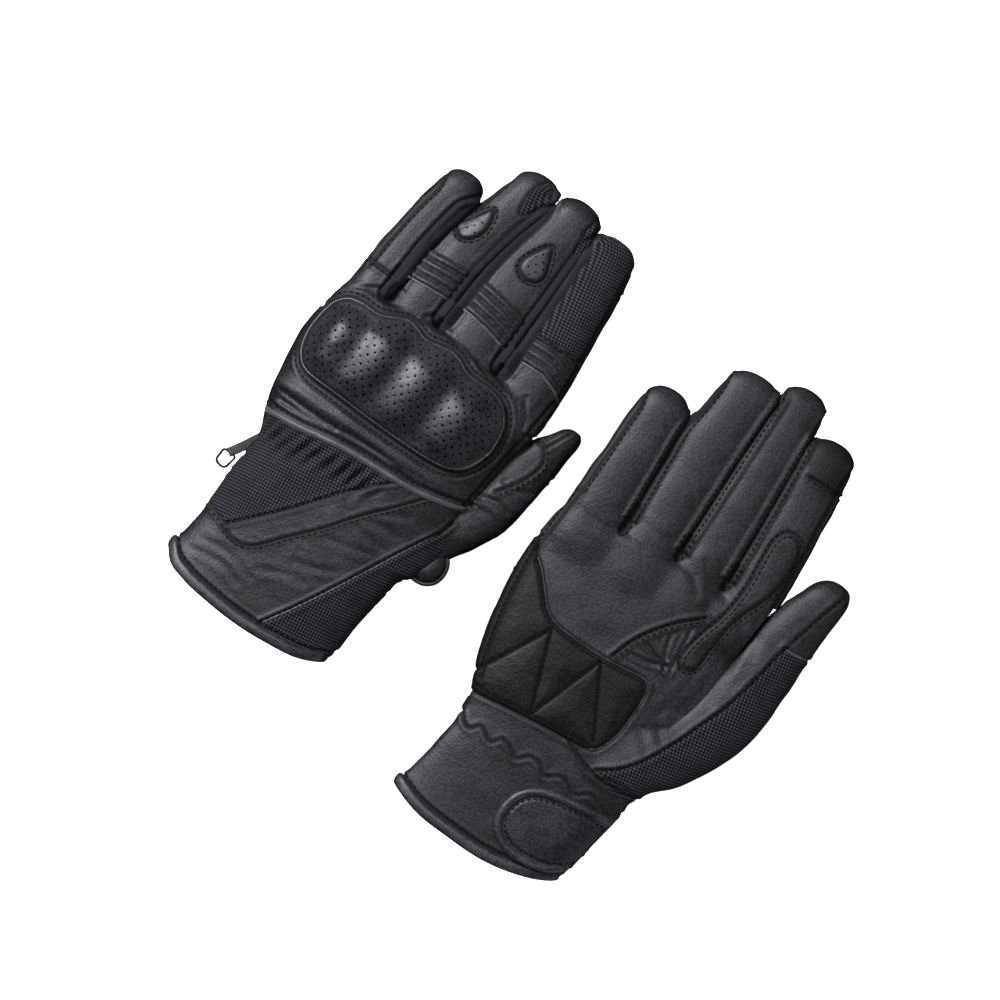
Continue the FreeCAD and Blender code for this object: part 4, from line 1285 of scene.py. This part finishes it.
def punch_marks(surface, spots, view, radius):
    """Small round holes, each a shallow near-black cup on the skin: painted shade inside the hole."""
    points, faces, count = [], [], 0
    turn = np.arange(8) * 2 * math.pi / 8
    for x, y in spots:
        found = surface.land(x, y, view)
        if found is None:
            continue
        spot, normal, _ = found
        side = unit(np.cross(normal, [0.0, 1.0, 0.0]))
        ahead = np.cross(side, normal)
        rim = spot + normal * 0.05 + radius * (np.cos(turn)[:, None] * side
                                               - np.sin(turn)[:, None] * ahead)
        points.append(np.vstack([rim, spot + normal * 0.02]))
        k = np.arange(8)
        faces.append(np.stack([k, (k + 1) % 8, k * 0 + 8], 1)[:, ::-1] + count)
        count += 9
    return np.vstack(points), np.vstack(faces)


def make_binding(glove):
    """The rolled leather binding round the hem."""
    corners = 18
    turn = np.linspace(0, 2 * math.pi, 160, endpoint=False)
    y = np.zeros(len(turn))
    for _ in range(4):
        ring = glove.hand.ring(y, turn)
        y = glove.hem(ring[:, 0])
    ring = glove.hand.ring(y, turn)
    closed = even(np.vstack([ring, ring[:1]]), 1.3)[:-1]
    h = 0.1
    slope = np.stack([glove.hand.distance(closed + h * e) - glove.hand.distance(closed - h * e)
                      for e in np.eye(3)], 1)
    slope[:, 1] = 0
    out = unit(slope)
    along = tangents(closed, True)
    ahead = unit(np.cross(out, along))
    ahead *= np.sign(ahead[:, 1:2])
    path = closed + ahead * 1.9 - out * 0.35
    points, faces = sweep(path, ahead, out, oval(2.9, 1.75, corners, 2.6), True)
    wear = 0.12 * noise(points, (6, 6, 6))
    points = points + out.repeat(corners, 0) * wear[:, None]
    piece = Piece(f"{glove.side}_cuff_binding", "binding")
    twist = np.sum(np.cross(along, ahead) * out, axis=1).mean()
    piece.add(points, faces if twist > 0 else faces[:, ::-1], "binding")
    obj = piece.build(glove)
    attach(obj, f"{glove.side}_hand")
    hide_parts(f"{glove.side}_cuff_binding")
    return obj


def strap_level(glove, x, y):
    """Level of the strap before its padding: its end climbs the side of the wrist."""
    base = level_of(glove.hand.distance, x, y, "palm")
    follow_side = 0.45 + 0.55 * step(30, 50, x)
    return 3.6 + follow_side * (np.clip(base, 3.0, 12.0) - 3.6)


def make_strap(glove):
    """The wrist strap: a stitched leather tongue inside a padded edge."""
    side = glove.side
    outline = smooth_line(STRAP, False, 1.2)
    sheet = plan_patch(outline, 0.55)
    sheet = sheet.split(sheet.points[:, 0] - glove.high_edge(sheet.points[:, 1]) + 0.6)[0]
    x, y, _ = sheet.points.T
    past_hinge = np.vstack([outline, STRAP_PAST_HINGE])
    edge = -outline_distance(x, y, past_hinge, 30.0)
    half = STRAP_EDGE_WIDE / 2
    over_roll = (np.clip(edge, 0, STRAP_EDGE_WIDE) - half) / half
    roll = 1.6 * np.sqrt(np.clip(1 - over_roll**2, 0, 1)) * (edge < STRAP_EDGE_WIDE)
    cushion = 0.55 * step(STRAP_EDGE_WIDE, 6.5, edge) + 0.25 * step(6, 14, edge)
    groove = 0.35 * bell(edge - STRAP_STITCH_ROW, 0.6)
    height = STRAP_THICK + roll + cushion * (edge >= STRAP_EDGE_WIDE) - groove
    height += 0.18 * noise(np.stack([x, y, x * 0], 1), (8, 6, 8))
    z = strap_level(glove, x, y) - height * (1 - 0.5 * step(44, 55, x))
    outer = np.stack([x, y, z], 1)
    faces = sheet.faces[:, ::-1]
    normals = normals_of(outer, faces)
    trimmed = Patch(outer, normals, faces, "strap")
    rim, middle = trimmed.split(edge - STRAP_EDGE_WIDE)
    piece = Piece(f"{side}_strap", "strap_leather")
    for part, look in ((rim, "binding"), (middle, "strap_leather")):
        piece.add(part.points, part.faces, look, normals=part.normals)
    shell, everything = thicken(outer, normals * [0, 0, 1.0], faces, STRAP_THICK)
    piece.add(shell, everything[len(faces):], "strap_leather")
    top = Surface(outer, faces, ["strap"] * len(faces))
    ring = grow(past_hinge, -STRAP_STITCH_ROW)
    ring = ring[ring[:, 0] < STRAP_HINGE[0] - 1]
    first = int(np.argmax(np.linalg.norm(np.diff(ring, axis=0), axis=1)))
    ring = np.vstack([ring[first + 1:], ring[: first + 1]])
    for _, points, more in stitches(top, ring, "palm"):
        piece.add(points, more, "thread")
    obj = piece.build(glove)
    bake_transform(obj)
    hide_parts(f"{side}_strap")
    return obj


def place_of(glove, node):
    """The points of a CAD node in the glove's own frame, in millimetres."""
    mesh = frame["nodes"][node].data
    flat = np.zeros(len(mesh.vertices) * 3, np.float32)
    mesh.vertices.foreach_get("co", flat)
    row = flat.reshape(-1, 3).astype(float) * 1000
    plan = row[:, :2] - glove.origin
    z = row[:, 2] if glove.side == "left" else HEIGHT - row[:, 2]
    return np.stack([plan @ glove.x_axis, plan @ glove.y_axis, z], 1)


def make_patches(glove):
    """The hook patch on the strap and the loop patch on the cuff, with their pile."""
    for node, look, body, out in (("strap_hook_patch", "hook", "strap", 1.0),
                                  ("cuff_loop_patch", "loop", "hand", -1.0)):
        own = place_of(glove, f"{glove.side}_{node}")
        low, high = own.min(0), own.max(0)
        wide, long = (high[:2] - low[:2]) / 2
        outline = (low[:2] + high[:2]) / 2 + oval(wide, long, 60, 2 / 0.3)
        sheet = plan_patch(outline, 0.6)
        pile = 0.12 * noise(sheet.points * [1, 1, 0], (1.3, 1.3, 1.3))
        half = (high[2] - low[2]) / 2
        x, y, _ = sheet.points.T
        if body == "strap":
            middle = strap_level(glove, x, y) - 0.4 - half
        else:
            middle = level_of(glove.hand.distance, x, y, "palm") - 0.9
        top = np.stack([x, y, middle + out * (half + pile)], 1)
        faces = sheet.faces if out > 0 else sheet.faces[:, ::-1]
        shell, everything = thicken(top, np.tile([0, 0, out], (len(top), 1)), faces, 2 * half)
        piece = Piece(f"{glove.side}_{node}", "hook_and_loop")
        piece.add(shell, everything, look)
        obj = piece.build(glove)
        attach(obj, f"{glove.side}_{body}")
        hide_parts(f"{glove.side}_{node}")


def make_tab_and_ring(glove):
    """The webbing tab that holds the wire ring, and the ring's finish."""
    own = place_of(glove, f"{glove.side}_ring_tab")
    high = own[own[:, 1] > own[:, 1].max() - 1.5].mean(0)
    low = own[own[:, 1] < own[:, 1].min() + 1.5].mean(0)
    sewn, free = (low, high) if low[0] > high[0] else (high, low)
    free = free - unit(sewn - free) * 3.0
    sewn = np.array([glove.low_edge(sewn[1]) + 2.5, sewn[1], SPLIT_LEVEL - 1.0])
    t = np.linspace(0, 1, 24)[:, None]
    path = sewn * (1 - t) + free * t
    path[:, 2] = sewn[2] + (free[2] - sewn[2]) * step(0, 0.8, t[:, 0])
    along = tangents(path, False)
    up = np.tile([0, 0, 1.0], (len(path), 1))
    across = unit(np.cross(along, up))
    points, faces = sweep(path, across, unit(np.cross(across, along)), oval(2.4, 0.65, 14, 3.2), False)
    piece = Piece(f"{glove.side}_ring_tab", "webbing")
    piece.add(points, faces, "webbing")
    obj = piece.build(glove)
    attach(obj, f"{glove.side}_hand")
    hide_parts(f"{glove.side}_ring_tab")
    ring = frame["nodes"][f"{glove.side}_wire_ring"]
    ring.data.materials.clear()
    ring.data.materials.append(material("wire"))
    for polygon in ring.data.polygons:
        polygon.use_smooth = True


def make_strap_roll(glove):
    """The stuffed, piped roll where the strap leaves the cuff, seen past the left thumb."""
    outline = smooth_line(STRAP_ROLL, True, 1.0)[:-1]
    sheet = plan_patch(outline, 0.6)
    x, y, _ = sheet.points.T
    edge = -outline_distance(x, y, outline, 20.0)
    round_up = quarter_round(edge, 7.0)
    piece = Piece(f"{glove.side}_strap_roll", "leather")
    for way in (1.0, -1.0):
        z = 12.0 + way * 5.0 * round_up
        faces = sheet.faces if way > 0 else sheet.faces[:, ::-1]
        piece.add(np.stack([x, y, z], 1), faces, "leather")
    ring = np.column_stack([outline, np.full(len(outline), 11.0)])
    along = tangents(ring, True)
    up = np.tile([0, 0, 1.0], (len(ring), 1))
    across = unit(np.cross(along, up))
    piece.add(*sweep(ring + up * 1.6, across, up, oval(1.2, 1.2, 10), True), "edge")
    obj = piece.build(glove)
    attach(obj, f"{glove.side}_hand")


# ---------------------------------------------------------------- materials

class Look:
    """A material under way, with short calls for the nodes it needs.  Lengths are in millimetres."""

    def __init__(self, name):
        self.made = bpy.data.materials.new(name)
        self.made.use_nodes = True
        self.tree = self.made.node_tree
        self.shader = self.tree.nodes["Principled BSDF"]

    def put(self, socket, value):
        if isinstance(value, bpy.types.NodeSocket):
            self.tree.links.new(value, socket)
        else:
            socket.default_value = value

    def node(self, kind, output=0, settings=None, **values):
        made = self.tree.nodes.new("ShaderNode" + kind)
        for key, value in (settings or {}).items():
            setattr(made, key, value)
        for key, value in values.items():
            self.put(made.inputs[key.replace("_", " ")], value)
        return made.outputs[output]

    def math(self, operation, a, b=0.0):
        made = self.tree.nodes.new("ShaderNodeMath")
        made.operation = operation
        self.put(made.inputs[0], a)
        self.put(made.inputs[1], b)
        return made.outputs[0]

    def rest(self):
        """Place on the resting glove in millimetres, which stays with the skin as it bends."""
        return self.node("Attribute", 1, {"attribute_name": "rest"})

    def flat(self):
        return self.node("UVMap", 0, {"uv_map": "millimetres"})

    def noise(self, where, lump, detail=3.0):
        return self.node("TexNoise", 0, Vector=where, Scale=1 / lump, Detail=detail)

    def ramp(self, value, low, high, start, end):
        return self.node("MapRange", 0, {"interpolation_type": "SMOOTHSTEP"}, Value=value,
                         From_Min=low, From_Max=high, To_Min=start, To_Max=end)

    def blend(self, share, a, b):
        made = self.tree.nodes.new("ShaderNodeMix")
        made.data_type = "RGBA"
        self.put(made.inputs[0], share)
        self.put(made.inputs[6], a)
        self.put(made.inputs[7], b)
        return made.outputs[2]

    def bump(self, height, depth, strength=1.0, under=None):
        made = self.tree.nodes.new("ShaderNodeBump")
        self.put(made.inputs["Height"], height)
        made.inputs["Distance"].default_value = depth / 1000
        made.inputs["Strength"].default_value = strength
        if under is not None:
            self.put(made.inputs["Normal"], under)
        return made.outputs[0]

    def finish(self, colour, roughness, normal=None, **values):
        self.put(self.shader.inputs["Base Color"], colour)
        self.put(self.shader.inputs["Roughness"], roughness)
        if normal is not None:
            self.put(self.shader.inputs["Normal"], normal)
        for key, value in values.items():
            self.put(self.shader.inputs[key.replace("_", " ")], value)
        return self.made


def grey(value, blue=1.18):
    """A grey that is a little blue, as black dye is."""
    return (value, value, value * blue, 1.0)


def leather_look(name, dark, light, roughness, grain=1.3, depth=0.095, specular=0.38):
    """Grained leather: rounded pebbles, soft wrinkles, worn patches and painted shade in sewn creases.
    """
    look = Look(name)
    where = look.rest()
    pebbles = look.node("TexVoronoi", 0, {"feature": "SMOOTH_F1"}, Vector=where, Scale=1 / grain,
                        Smoothness=0.35)
    grain_height = look.ramp(pebbles, 0.15, 0.75, 1.0, 0.0)
    wrinkles = look.noise(where, 3.2, 4.0)
    worn = look.ramp(look.noise(where, 16.0, 4.0), 0.35, 0.7, 0.0, 1.0)
    colour = look.blend(worn, grey(dark), grey(light))
    colour = look.blend(look.ramp(pebbles, 0.35, 0.75, 0.0, 0.85), colour, grey(dark * 0.25))
    # Painted shade: the leather is darkened along the seams, stitch rows and rib grooves that relief()
    # marks.
    sewn = look.node("Attribute", 2, {"attribute_name": "crease_shade"})
    colour = look.blend(sewn, colour, grey(dark * 0.12))
    gloss = look.math("ADD", look.math("MULTIPLY", worn, 0.08), roughness - 0.04)
    gloss = look.math("ADD", gloss, look.math("MULTIPLY", sewn, 0.4))
    normal = look.bump(wrinkles, depth * 2.0, 0.25)
    normal = look.bump(grain_height, depth, 0.75, normal)
    return look.finish(colour, gloss, normal, Specular_IOR_Level=specular)


def mesh_look(name="mesh", across=1.75, along=1.6, thread=0.042, hole=0.0005):
    """Spacer mesh: lengthwise and crosswise cords round small holes, painted near-black as their shade.
    """
    look = Look(name)
    uv = look.flat()
    turns = []
    for way in ((1 / across, 0.12, 0.0), (-0.1, 1 / along, 0.0)):
        dot = look.tree.nodes.new("ShaderNodeVectorMath")
        dot.operation = "DOT_PRODUCT"
        look.put(dot.inputs[0], uv)
        dot.inputs[1].default_value = way
        turns.append(look.math("COSINE", look.math("MULTIPLY", dot.outputs["Value"], 2 * math.pi)))
    net = look.ramp(look.math("ADD", turns[0], turns[1]), -0.8, 0.4, 1.0, 0.0)
    shade = look.ramp(look.noise(look.rest(), 9.0), 0.3, 0.7, 0.75, 1.1)
    lit = look.math("MULTIPLY", net, shade)
    # The holes' near-black is painted shade inside them.
    colour = look.blend(lit, (hole, hole, hole * 1.2, 1), (thread, thread, thread * 1.2, 1))
    normal = look.bump(net, 0.35, 0.8)
    return look.finish(colour, 0.7, normal, Sheen_Weight=0.03, Specular_IOR_Level=0.12)


def knit_look(name, colour, pitch=0.85, depth=0.2, sheen=0.25):
    """Close-knit stretch cloth: fine wales along the glove, with fuzz, and painted shade in their
    hollows.
    """
    look = Look(name)
    uv = look.flat()
    wales = look.node("TexWave", 0, {"wave_type": "BANDS", "bands_direction": "X"}, Vector=uv,
                      Scale=0.314 / pitch, Distortion=0.6, Detail=2.0, Detail_Scale=2.0)
    rows = look.node("TexWave", 0, {"wave_type": "BANDS", "bands_direction": "Y"}, Vector=uv,
                     Scale=0.4 / pitch, Distortion=1.2, Detail=1.0)
    fuzz = look.noise(look.rest(), 0.5, 4.0)
    height = look.math("ADD", look.math("MULTIPLY", wales, 0.6), look.math("MULTIPLY", rows, 0.3))
    height = look.math("ADD", height, look.math("MULTIPLY", fuzz, 0.35))
    patches = look.noise(look.rest(), 12.0)
    # Painted shade: darker where the wales, rows and fuzz are low; the slow patches are random tone.
    lit = look.math("MULTIPLY", look.ramp(height, 0.2, 1.1, 0.45, 1.15),
                    look.ramp(patches, 0.3, 0.7, 0.8, 1.1))
    dark = tuple(c * 0.25 for c in colour[:3]) + (1.0,)
    shaded = look.blend(lit, dark, colour)
    return look.finish(shaded, 0.85, look.bump(height, depth, 0.8), Sheen_Weight=sheen,
                       Specular_IOR_Level=0.25)


def satin_look(name, value, roughness=0.42):
    """Woven satin tape: close diagonal threads with a soft sheen."""
    look = Look(name)
    weave = look.node("TexWave", 0, {"wave_type": "BANDS", "bands_direction": "DIAGONAL"},
                      Vector=look.rest(), Scale=0.55, Distortion=0.8, Detail=2.0)
    patches = look.noise(look.rest(), 5.0)
    lit = look.math("MULTIPLY", look.ramp(weave, 0, 1, 0.8, 1.0),
                    look.ramp(patches, 0.3, 0.7, 0.75, 1.1))
    colour = look.blend(lit, grey(value * 0.3, 1.05), grey(value, 1.05))
    return look.finish(colour, roughness, look.bump(weave, 0.08, 0.7), Sheen_Weight=0.15)


def plain_look(name, colour, roughness, lump=0.8, depth=0.05, **values):
    """A fine-grained finish for small parts: thread, wire, the painted shade of holes, and pile."""
    look = Look(name)
    spots = look.noise(look.rest(), lump, 3.0)
    lit = look.ramp(spots, 0.3, 0.7, 0.6, 1.1)
    dark = tuple(c * 0.3 for c in colour[:3]) + (1.0,)
    return look.finish(look.blend(lit, dark, colour), roughness, look.bump(spots, depth, 0.6), **values)


MAKERS = {
    "leather": lambda: leather_look("leather", 0.008, 0.018, 0.54),
    "heel": lambda: leather_look("heel_leather", 0.004, 0.006, 0.52, 1.5, 0.09, 0.22),
    "strap_leather": lambda: leather_look("strap_leather", 0.015, 0.022, 0.5, 1.3),
    "touch": lambda: leather_look("touch_leather", 0.005, 0.008, 0.6, 1.0, 0.06, 0.28),
    "pad": lambda: leather_look("pad_leather", 0.014, 0.02, 0.46, 1.2, 0.05, 0.42),
    "guard": lambda: leather_look("guard_leather", 0.012, 0.018, 0.46, 1.2, 0.04, 0.38),
    "edge": lambda: leather_look("edge_leather", 0.016, 0.026, 0.42, 1.2, 0.03, 0.5),
    "binding": lambda: leather_look("binding", 0.022, 0.034, 0.45, 1.3, 0.04, 0.5),
    "mesh": mesh_look,
    "knit": lambda: knit_look("knit", (0.011, 0.011, 0.015, 1.0), 0.85, 0.2, 0.03),
    "lining": lambda: knit_look("lining", (0.014, 0.014, 0.016, 1.0), 1.2, 0.15, 0.08),
    "piping": lambda: satin_look("piping", 0.06),
    "webbing": lambda: satin_look("webbing", 0.03, 0.7),
    "thread": lambda: plain_look("thread", (0.002, 0.002, 0.0025, 1), 0.7, Specular_IOR_Level=0.15),
    # Near-black and without gloss: painted shade inside punched and mesh holes.
    "hole": lambda: plain_look("hole", (0.0008, 0.0008, 0.0008, 1), 0.95, Specular_IOR_Level=0.0),
    "wire": lambda: plain_look("wire", (0.02, 0.02, 0.022, 1), 0.3, 0.6, 0.02, Metallic=0.9),
    "hook": lambda: plain_look("hook", (0.012, 0.012, 0.012, 1), 0.7, 0.5, 0.3),
    "loop": lambda: plain_look("loop", (0.01, 0.01, 0.01, 1), 0.95, 0.4, 0.35, Sheen_Weight=0.2),
}
FINISHED = {}


def material(name):
    if name not in FINISHED:
        FINISHED[name] = MAKERS[name]()
    return FINISHED[name]


# ---------------------------------------------------------------- the gloves

def joint_place(name):
    """Where a joint's axis passes, in metres in the row's frame."""
    return np.array(JOINTS[name]["pos_m"])


def knuckle_bend(digit):
    return THUMB_KNUCKLE_BEND if digit == "thumb" else FINGER_KNUCKLE_BEND


def follow(obj, glove, owner):
    """Attaches a piece of the root's skin to the hand's body; a piece of a digit's skin stays in the
    row, attached to no body.
    """
    side = glove.side
    if owner == "root":
        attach(obj, f"{side}_hand")
        return
    digit, part = owner.split("_")
    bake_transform(obj)


def cut_stations(glove):
    """Where each digit's skin is cut between the stretch of its two joints."""
    made = {}
    for digit in DIGITS:
        y = {}
        for joint in ("knuckle", "bend"):
            plan = joint_place(f"{glove.side}_{digit}_{joint}")[:2] * 1000 - glove.origin
            y[joint] = plan @ glove.y_axis
        made[digit] = (y["knuckle"] + knuckle_bend(digit)[1] + y["bend"] - MIDDLE_JOINT_BEND[0]) / 2
    return made


def sew(glove, panels):
    """Every panel as a shell with its lining, by piece: its name, then (piece, owner, CAD nodes)."""
    pieces = {}
    for each in panels:
        if each.name not in pieces:
            pieces[each.name] = (Piece(f"{glove.side}_{each.name}", each.slot), each.patch.owner, [])
        piece, _, nodes = pieces[each.name]
        nodes += [n for n in each.nodes if n not in nodes]
        shell, faces = thicken(each.points, each.normals, each.patch.faces, SHELL)
        outer = len(each.patch.faces)
        flat = plan_uv(glove, each.patch.points)
        uv, rest = np.vstack([flat, flat]), np.vstack([each.patch.points, each.patch.points])
        normals = np.vstack([each.normals, -each.normals])
        crease_shade = np.concatenate([each.crease_shade, each.crease_shade])
        piece.add(shell, faces[:outer], each.look, uv, rest, normals, crease_shade)
        piece.add(shell, faces[outer:], "lining", uv, rest, normals)
    return pieces


def lay_stitches(glove, surface, pieces):
    """Every row of every seam, each stitch in the piece of the skin that it is on."""
    for seam in glove.seams:
        for row in seam.rows:
            line = seam.line if row == 0 else beside(seam.line, row)
            for owner, points, faces in stitches(surface, line, seam.view):
                name = "hand_back" if owner == "root" else owner
                pieces[name][0].add(points, faces, "thread")


def make_glove(glove):
    glove.cuts = cut_stations(glove)
    knits, knit_seams = knit_regions(glove)
    fingers, finger_seams = finger_regions(glove)
    hands, hand_seams, glove.folds = hand_regions(glove)
    glove.regions = hands + fingers + knits
    glove.seams = hand_seams + finger_seams + knit_seams
    panels = make_panels(glove)
    weld_normals(panels)
    points, faces, _ = join(panels)
    owners = sum([[p.patch.owner] * len(p.patch.faces) for p in panels], [])
    surface = Surface(points, faces, owners)
    pieces = sew(glove, panels)
    lay_stitches(glove, surface, pieces)
    lay_piping(glove, surface, pieces)
    for name, (piece, owner, nodes) in pieces.items():
        obj = piece.build(glove)
        follow(obj, glove, owner)
        if nodes:
            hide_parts(*[f"{glove.side}_{n}" for n in nodes])
    make_guard(glove)
    make_binding(glove)
    make_strap(glove)
    make_patches(glove)
    make_tab_and_ring(glove)
    if glove.side == "left":
        make_strap_roll(glove)


def lay_piping(glove, surface, pieces):
    """The satin piping over the wrist, and the thin pipings at the fingers, thumb and palm."""
    across_wrist = carry(smooth_line(PIPING[1:-1] + [(58.5, 99)]), "back", glove)
    points, faces = cord_on(surface, across_wrist, "back", 1.45, 0.9, lift=0.3)
    strip = Piece(f"{glove.side}_wrist_piping", "binding")
    strip.add(points, faces, "piping")
    pieces["wrist_piping"] = (strip, "root", ["wrist_piping"])
    for digit, start in RIB_STARTS.items():
        line = carry(even(np.array(start, float), 1.2), "back", glove, digit)
        pieces[f"{digit}_lower"][0].add(*cord_on(surface, line, "back", 0.7, 0.6), "piping")
    heel = carry(smooth_line(HEEL_PAD[1:15]), "palm", glove)
    pieces["root_heel_pad"][0].add(*cord_on(surface, heel, "palm", 0.6, 0.55), "edge")
    side_line = carry(smooth_line(SIDE_SEAM[:-1]), "back", glove)
    pieces["cuff_back"][0].add(*cord_on(surface, side_line, "back", 0.6, 0.5), "edge")
    cap = carry_thumb(smooth_line(THUMB_CAP[:2] + [(92, 154)]), glove)
    owner = surface.land(*cap[len(cap) // 2], "palm")[2]
    pieces[owner][0].add(*cord_on(surface, cap, "palm", 0.7, 0.6), "piping")
    for digit, outline in FINGER_PADS.items():
        placed = carry(smooth_line(outline, True, 1.0), "back", glove, digit)
        spots = hole_grid(placed, 2.2, 4.4, 3.0)
        name = f"{digit}_upper_finger_pad"
        if name in pieces and len(spots):
            pieces[name][0].add(*punch_marks(surface, spots, "back", 0.5), "hole")


for each_glove in GLOVES.values():
    make_glove(each_glove)


# ---------------------------------------------------------------- stage, light and camera

def make_floor():
    """A pale floor that sweeps up to a wall all round, and doesn't light the gloves."""
    mesh = bpy.data.meshes.new("floor")
    level, reach = -0.085, 5.0
    sweep_up = [(reach * 0.5, level), (reach * 0.85, level + 0.3), (reach, level + 1.5),
                (reach, level + 6)]
    count = 48
    turn = [2 * math.pi * k / count for k in range(count)]
    corners = [(0.0, 0.0, level)]
    for radius, z in sweep_up:
        corners += [(radius * math.cos(t), radius * math.sin(t), z) for t in turn]
    faces = [(0, 1 + k, 1 + (k + 1) % count) for k in range(count)]
    for ring in range(len(sweep_up) - 1):
        a = 1 + ring * count
        faces += [(a + k, a + count + k, a + count + (k + 1) % count, a + (k + 1) % count)
                  for k in range(count)]
    mesh.from_pydata(corners, [], faces)
    for polygon in mesh.polygons:
        polygon.use_smooth = True
    floor = bpy.data.objects.new("floor", mesh)
    bpy.context.scene.collection.objects.link(floor)
    floor.visible_diffuse = floor.visible_glossy = floor.visible_shadow = False
    look = Look("floor")
    look.put(look.shader.inputs["Emission Color"], (1.0, 1.0, 1.0, 1.0))
    look.shader.inputs["Emission Strength"].default_value = 0.95
    shade = look.noise(look.node("TexCoord", 3), 2.0)
    colour = look.blend(shade, (0.8, 0.8, 0.8, 1), (0.84, 0.84, 0.84, 1))
    mesh.materials.append(look.finish(colour, 0.9))


def make_light(name, place, size, power):
    """A soft rectangular light that shines at the gloves."""
    data = bpy.data.lights.new(name, "AREA")
    data.shape = "RECTANGLE"
    data.size, data.size_y = size
    data.energy = power
    data.color = (0.94, 0.93, 1.0)
    light = bpy.data.objects.new(name, data)
    light.location = place
    light.rotation_mode = "QUATERNION"
    light.rotation_quaternion = (-place).to_track_quat("-Z", "Y")
    bpy.context.scene.collection.objects.link(light)


def make_camera():
    """Straight down, turned so that the fingers point up and to the right."""
    data = bpy.data.cameras.new("camera")
    data.lens, data.sensor_width = 85.0, 36.0
    camera = bpy.data.objects.new("camera", data)
    turn = Matrix((PICTURE_UP.cross(OVERHEAD), PICTURE_UP, OVERHEAD)).transposed().to_4x4()
    camera.matrix_world = Matrix.Translation(CAMERA_PLACE) @ turn
    bpy.context.scene.collection.objects.link(camera)
    bpy.context.scene.camera = camera


def make_world():
    """A faint even light from all round."""
    world = bpy.data.worlds.new("studio")
    world.use_nodes = True
    background = world.node_tree.nodes["Background"]
    background.inputs["Color"].default_value = (1.0, 1.0, 1.0, 1.0)
    background.inputs["Strength"].default_value = 0.008
    bpy.context.scene.world = world
    bpy.context.scene.view_settings.view_transform = "Standard"


PICTURE_UP = Vector((-0.566, 0.824, 0.0)).normalized()
PICTURE_RIGHT = Vector((0.824, 0.566, 0.0)).normalized()
OVERHEAD = Vector((0, 0, 1.0))
CAMERA_PLACE = (-0.0202, 0.0031, 1.163)
# Each light: metres to the picture's right, up the picture and overhead, its size and its watts.
LIGHTS = {
    "key": ((-0.7, 0.8, 1.0), (0.55, 0.45), 35.0),
    "top": ((0.0, 0.35, 1.6), (0.8, 0.6), 9.5),
    "fill": ((1.2, -0.2, 0.6), (0.5, 0.3), 2.0),
    "low_front": ((0.6, -1.3, 0.25), (0.9, 0.3), 3.2),
    "low_back": ((0.5, 1.4, 0.25), (0.9, 0.3), 2.8),
}

make_floor()
make_camera()
make_world()
for light_name, ((right, up, over), light_size, watts) in LIGHTS.items():
    light_place = PICTURE_RIGHT * right + PICTURE_UP * up + OVERHEAD * over
    make_light(light_name, light_place, light_size, watts)
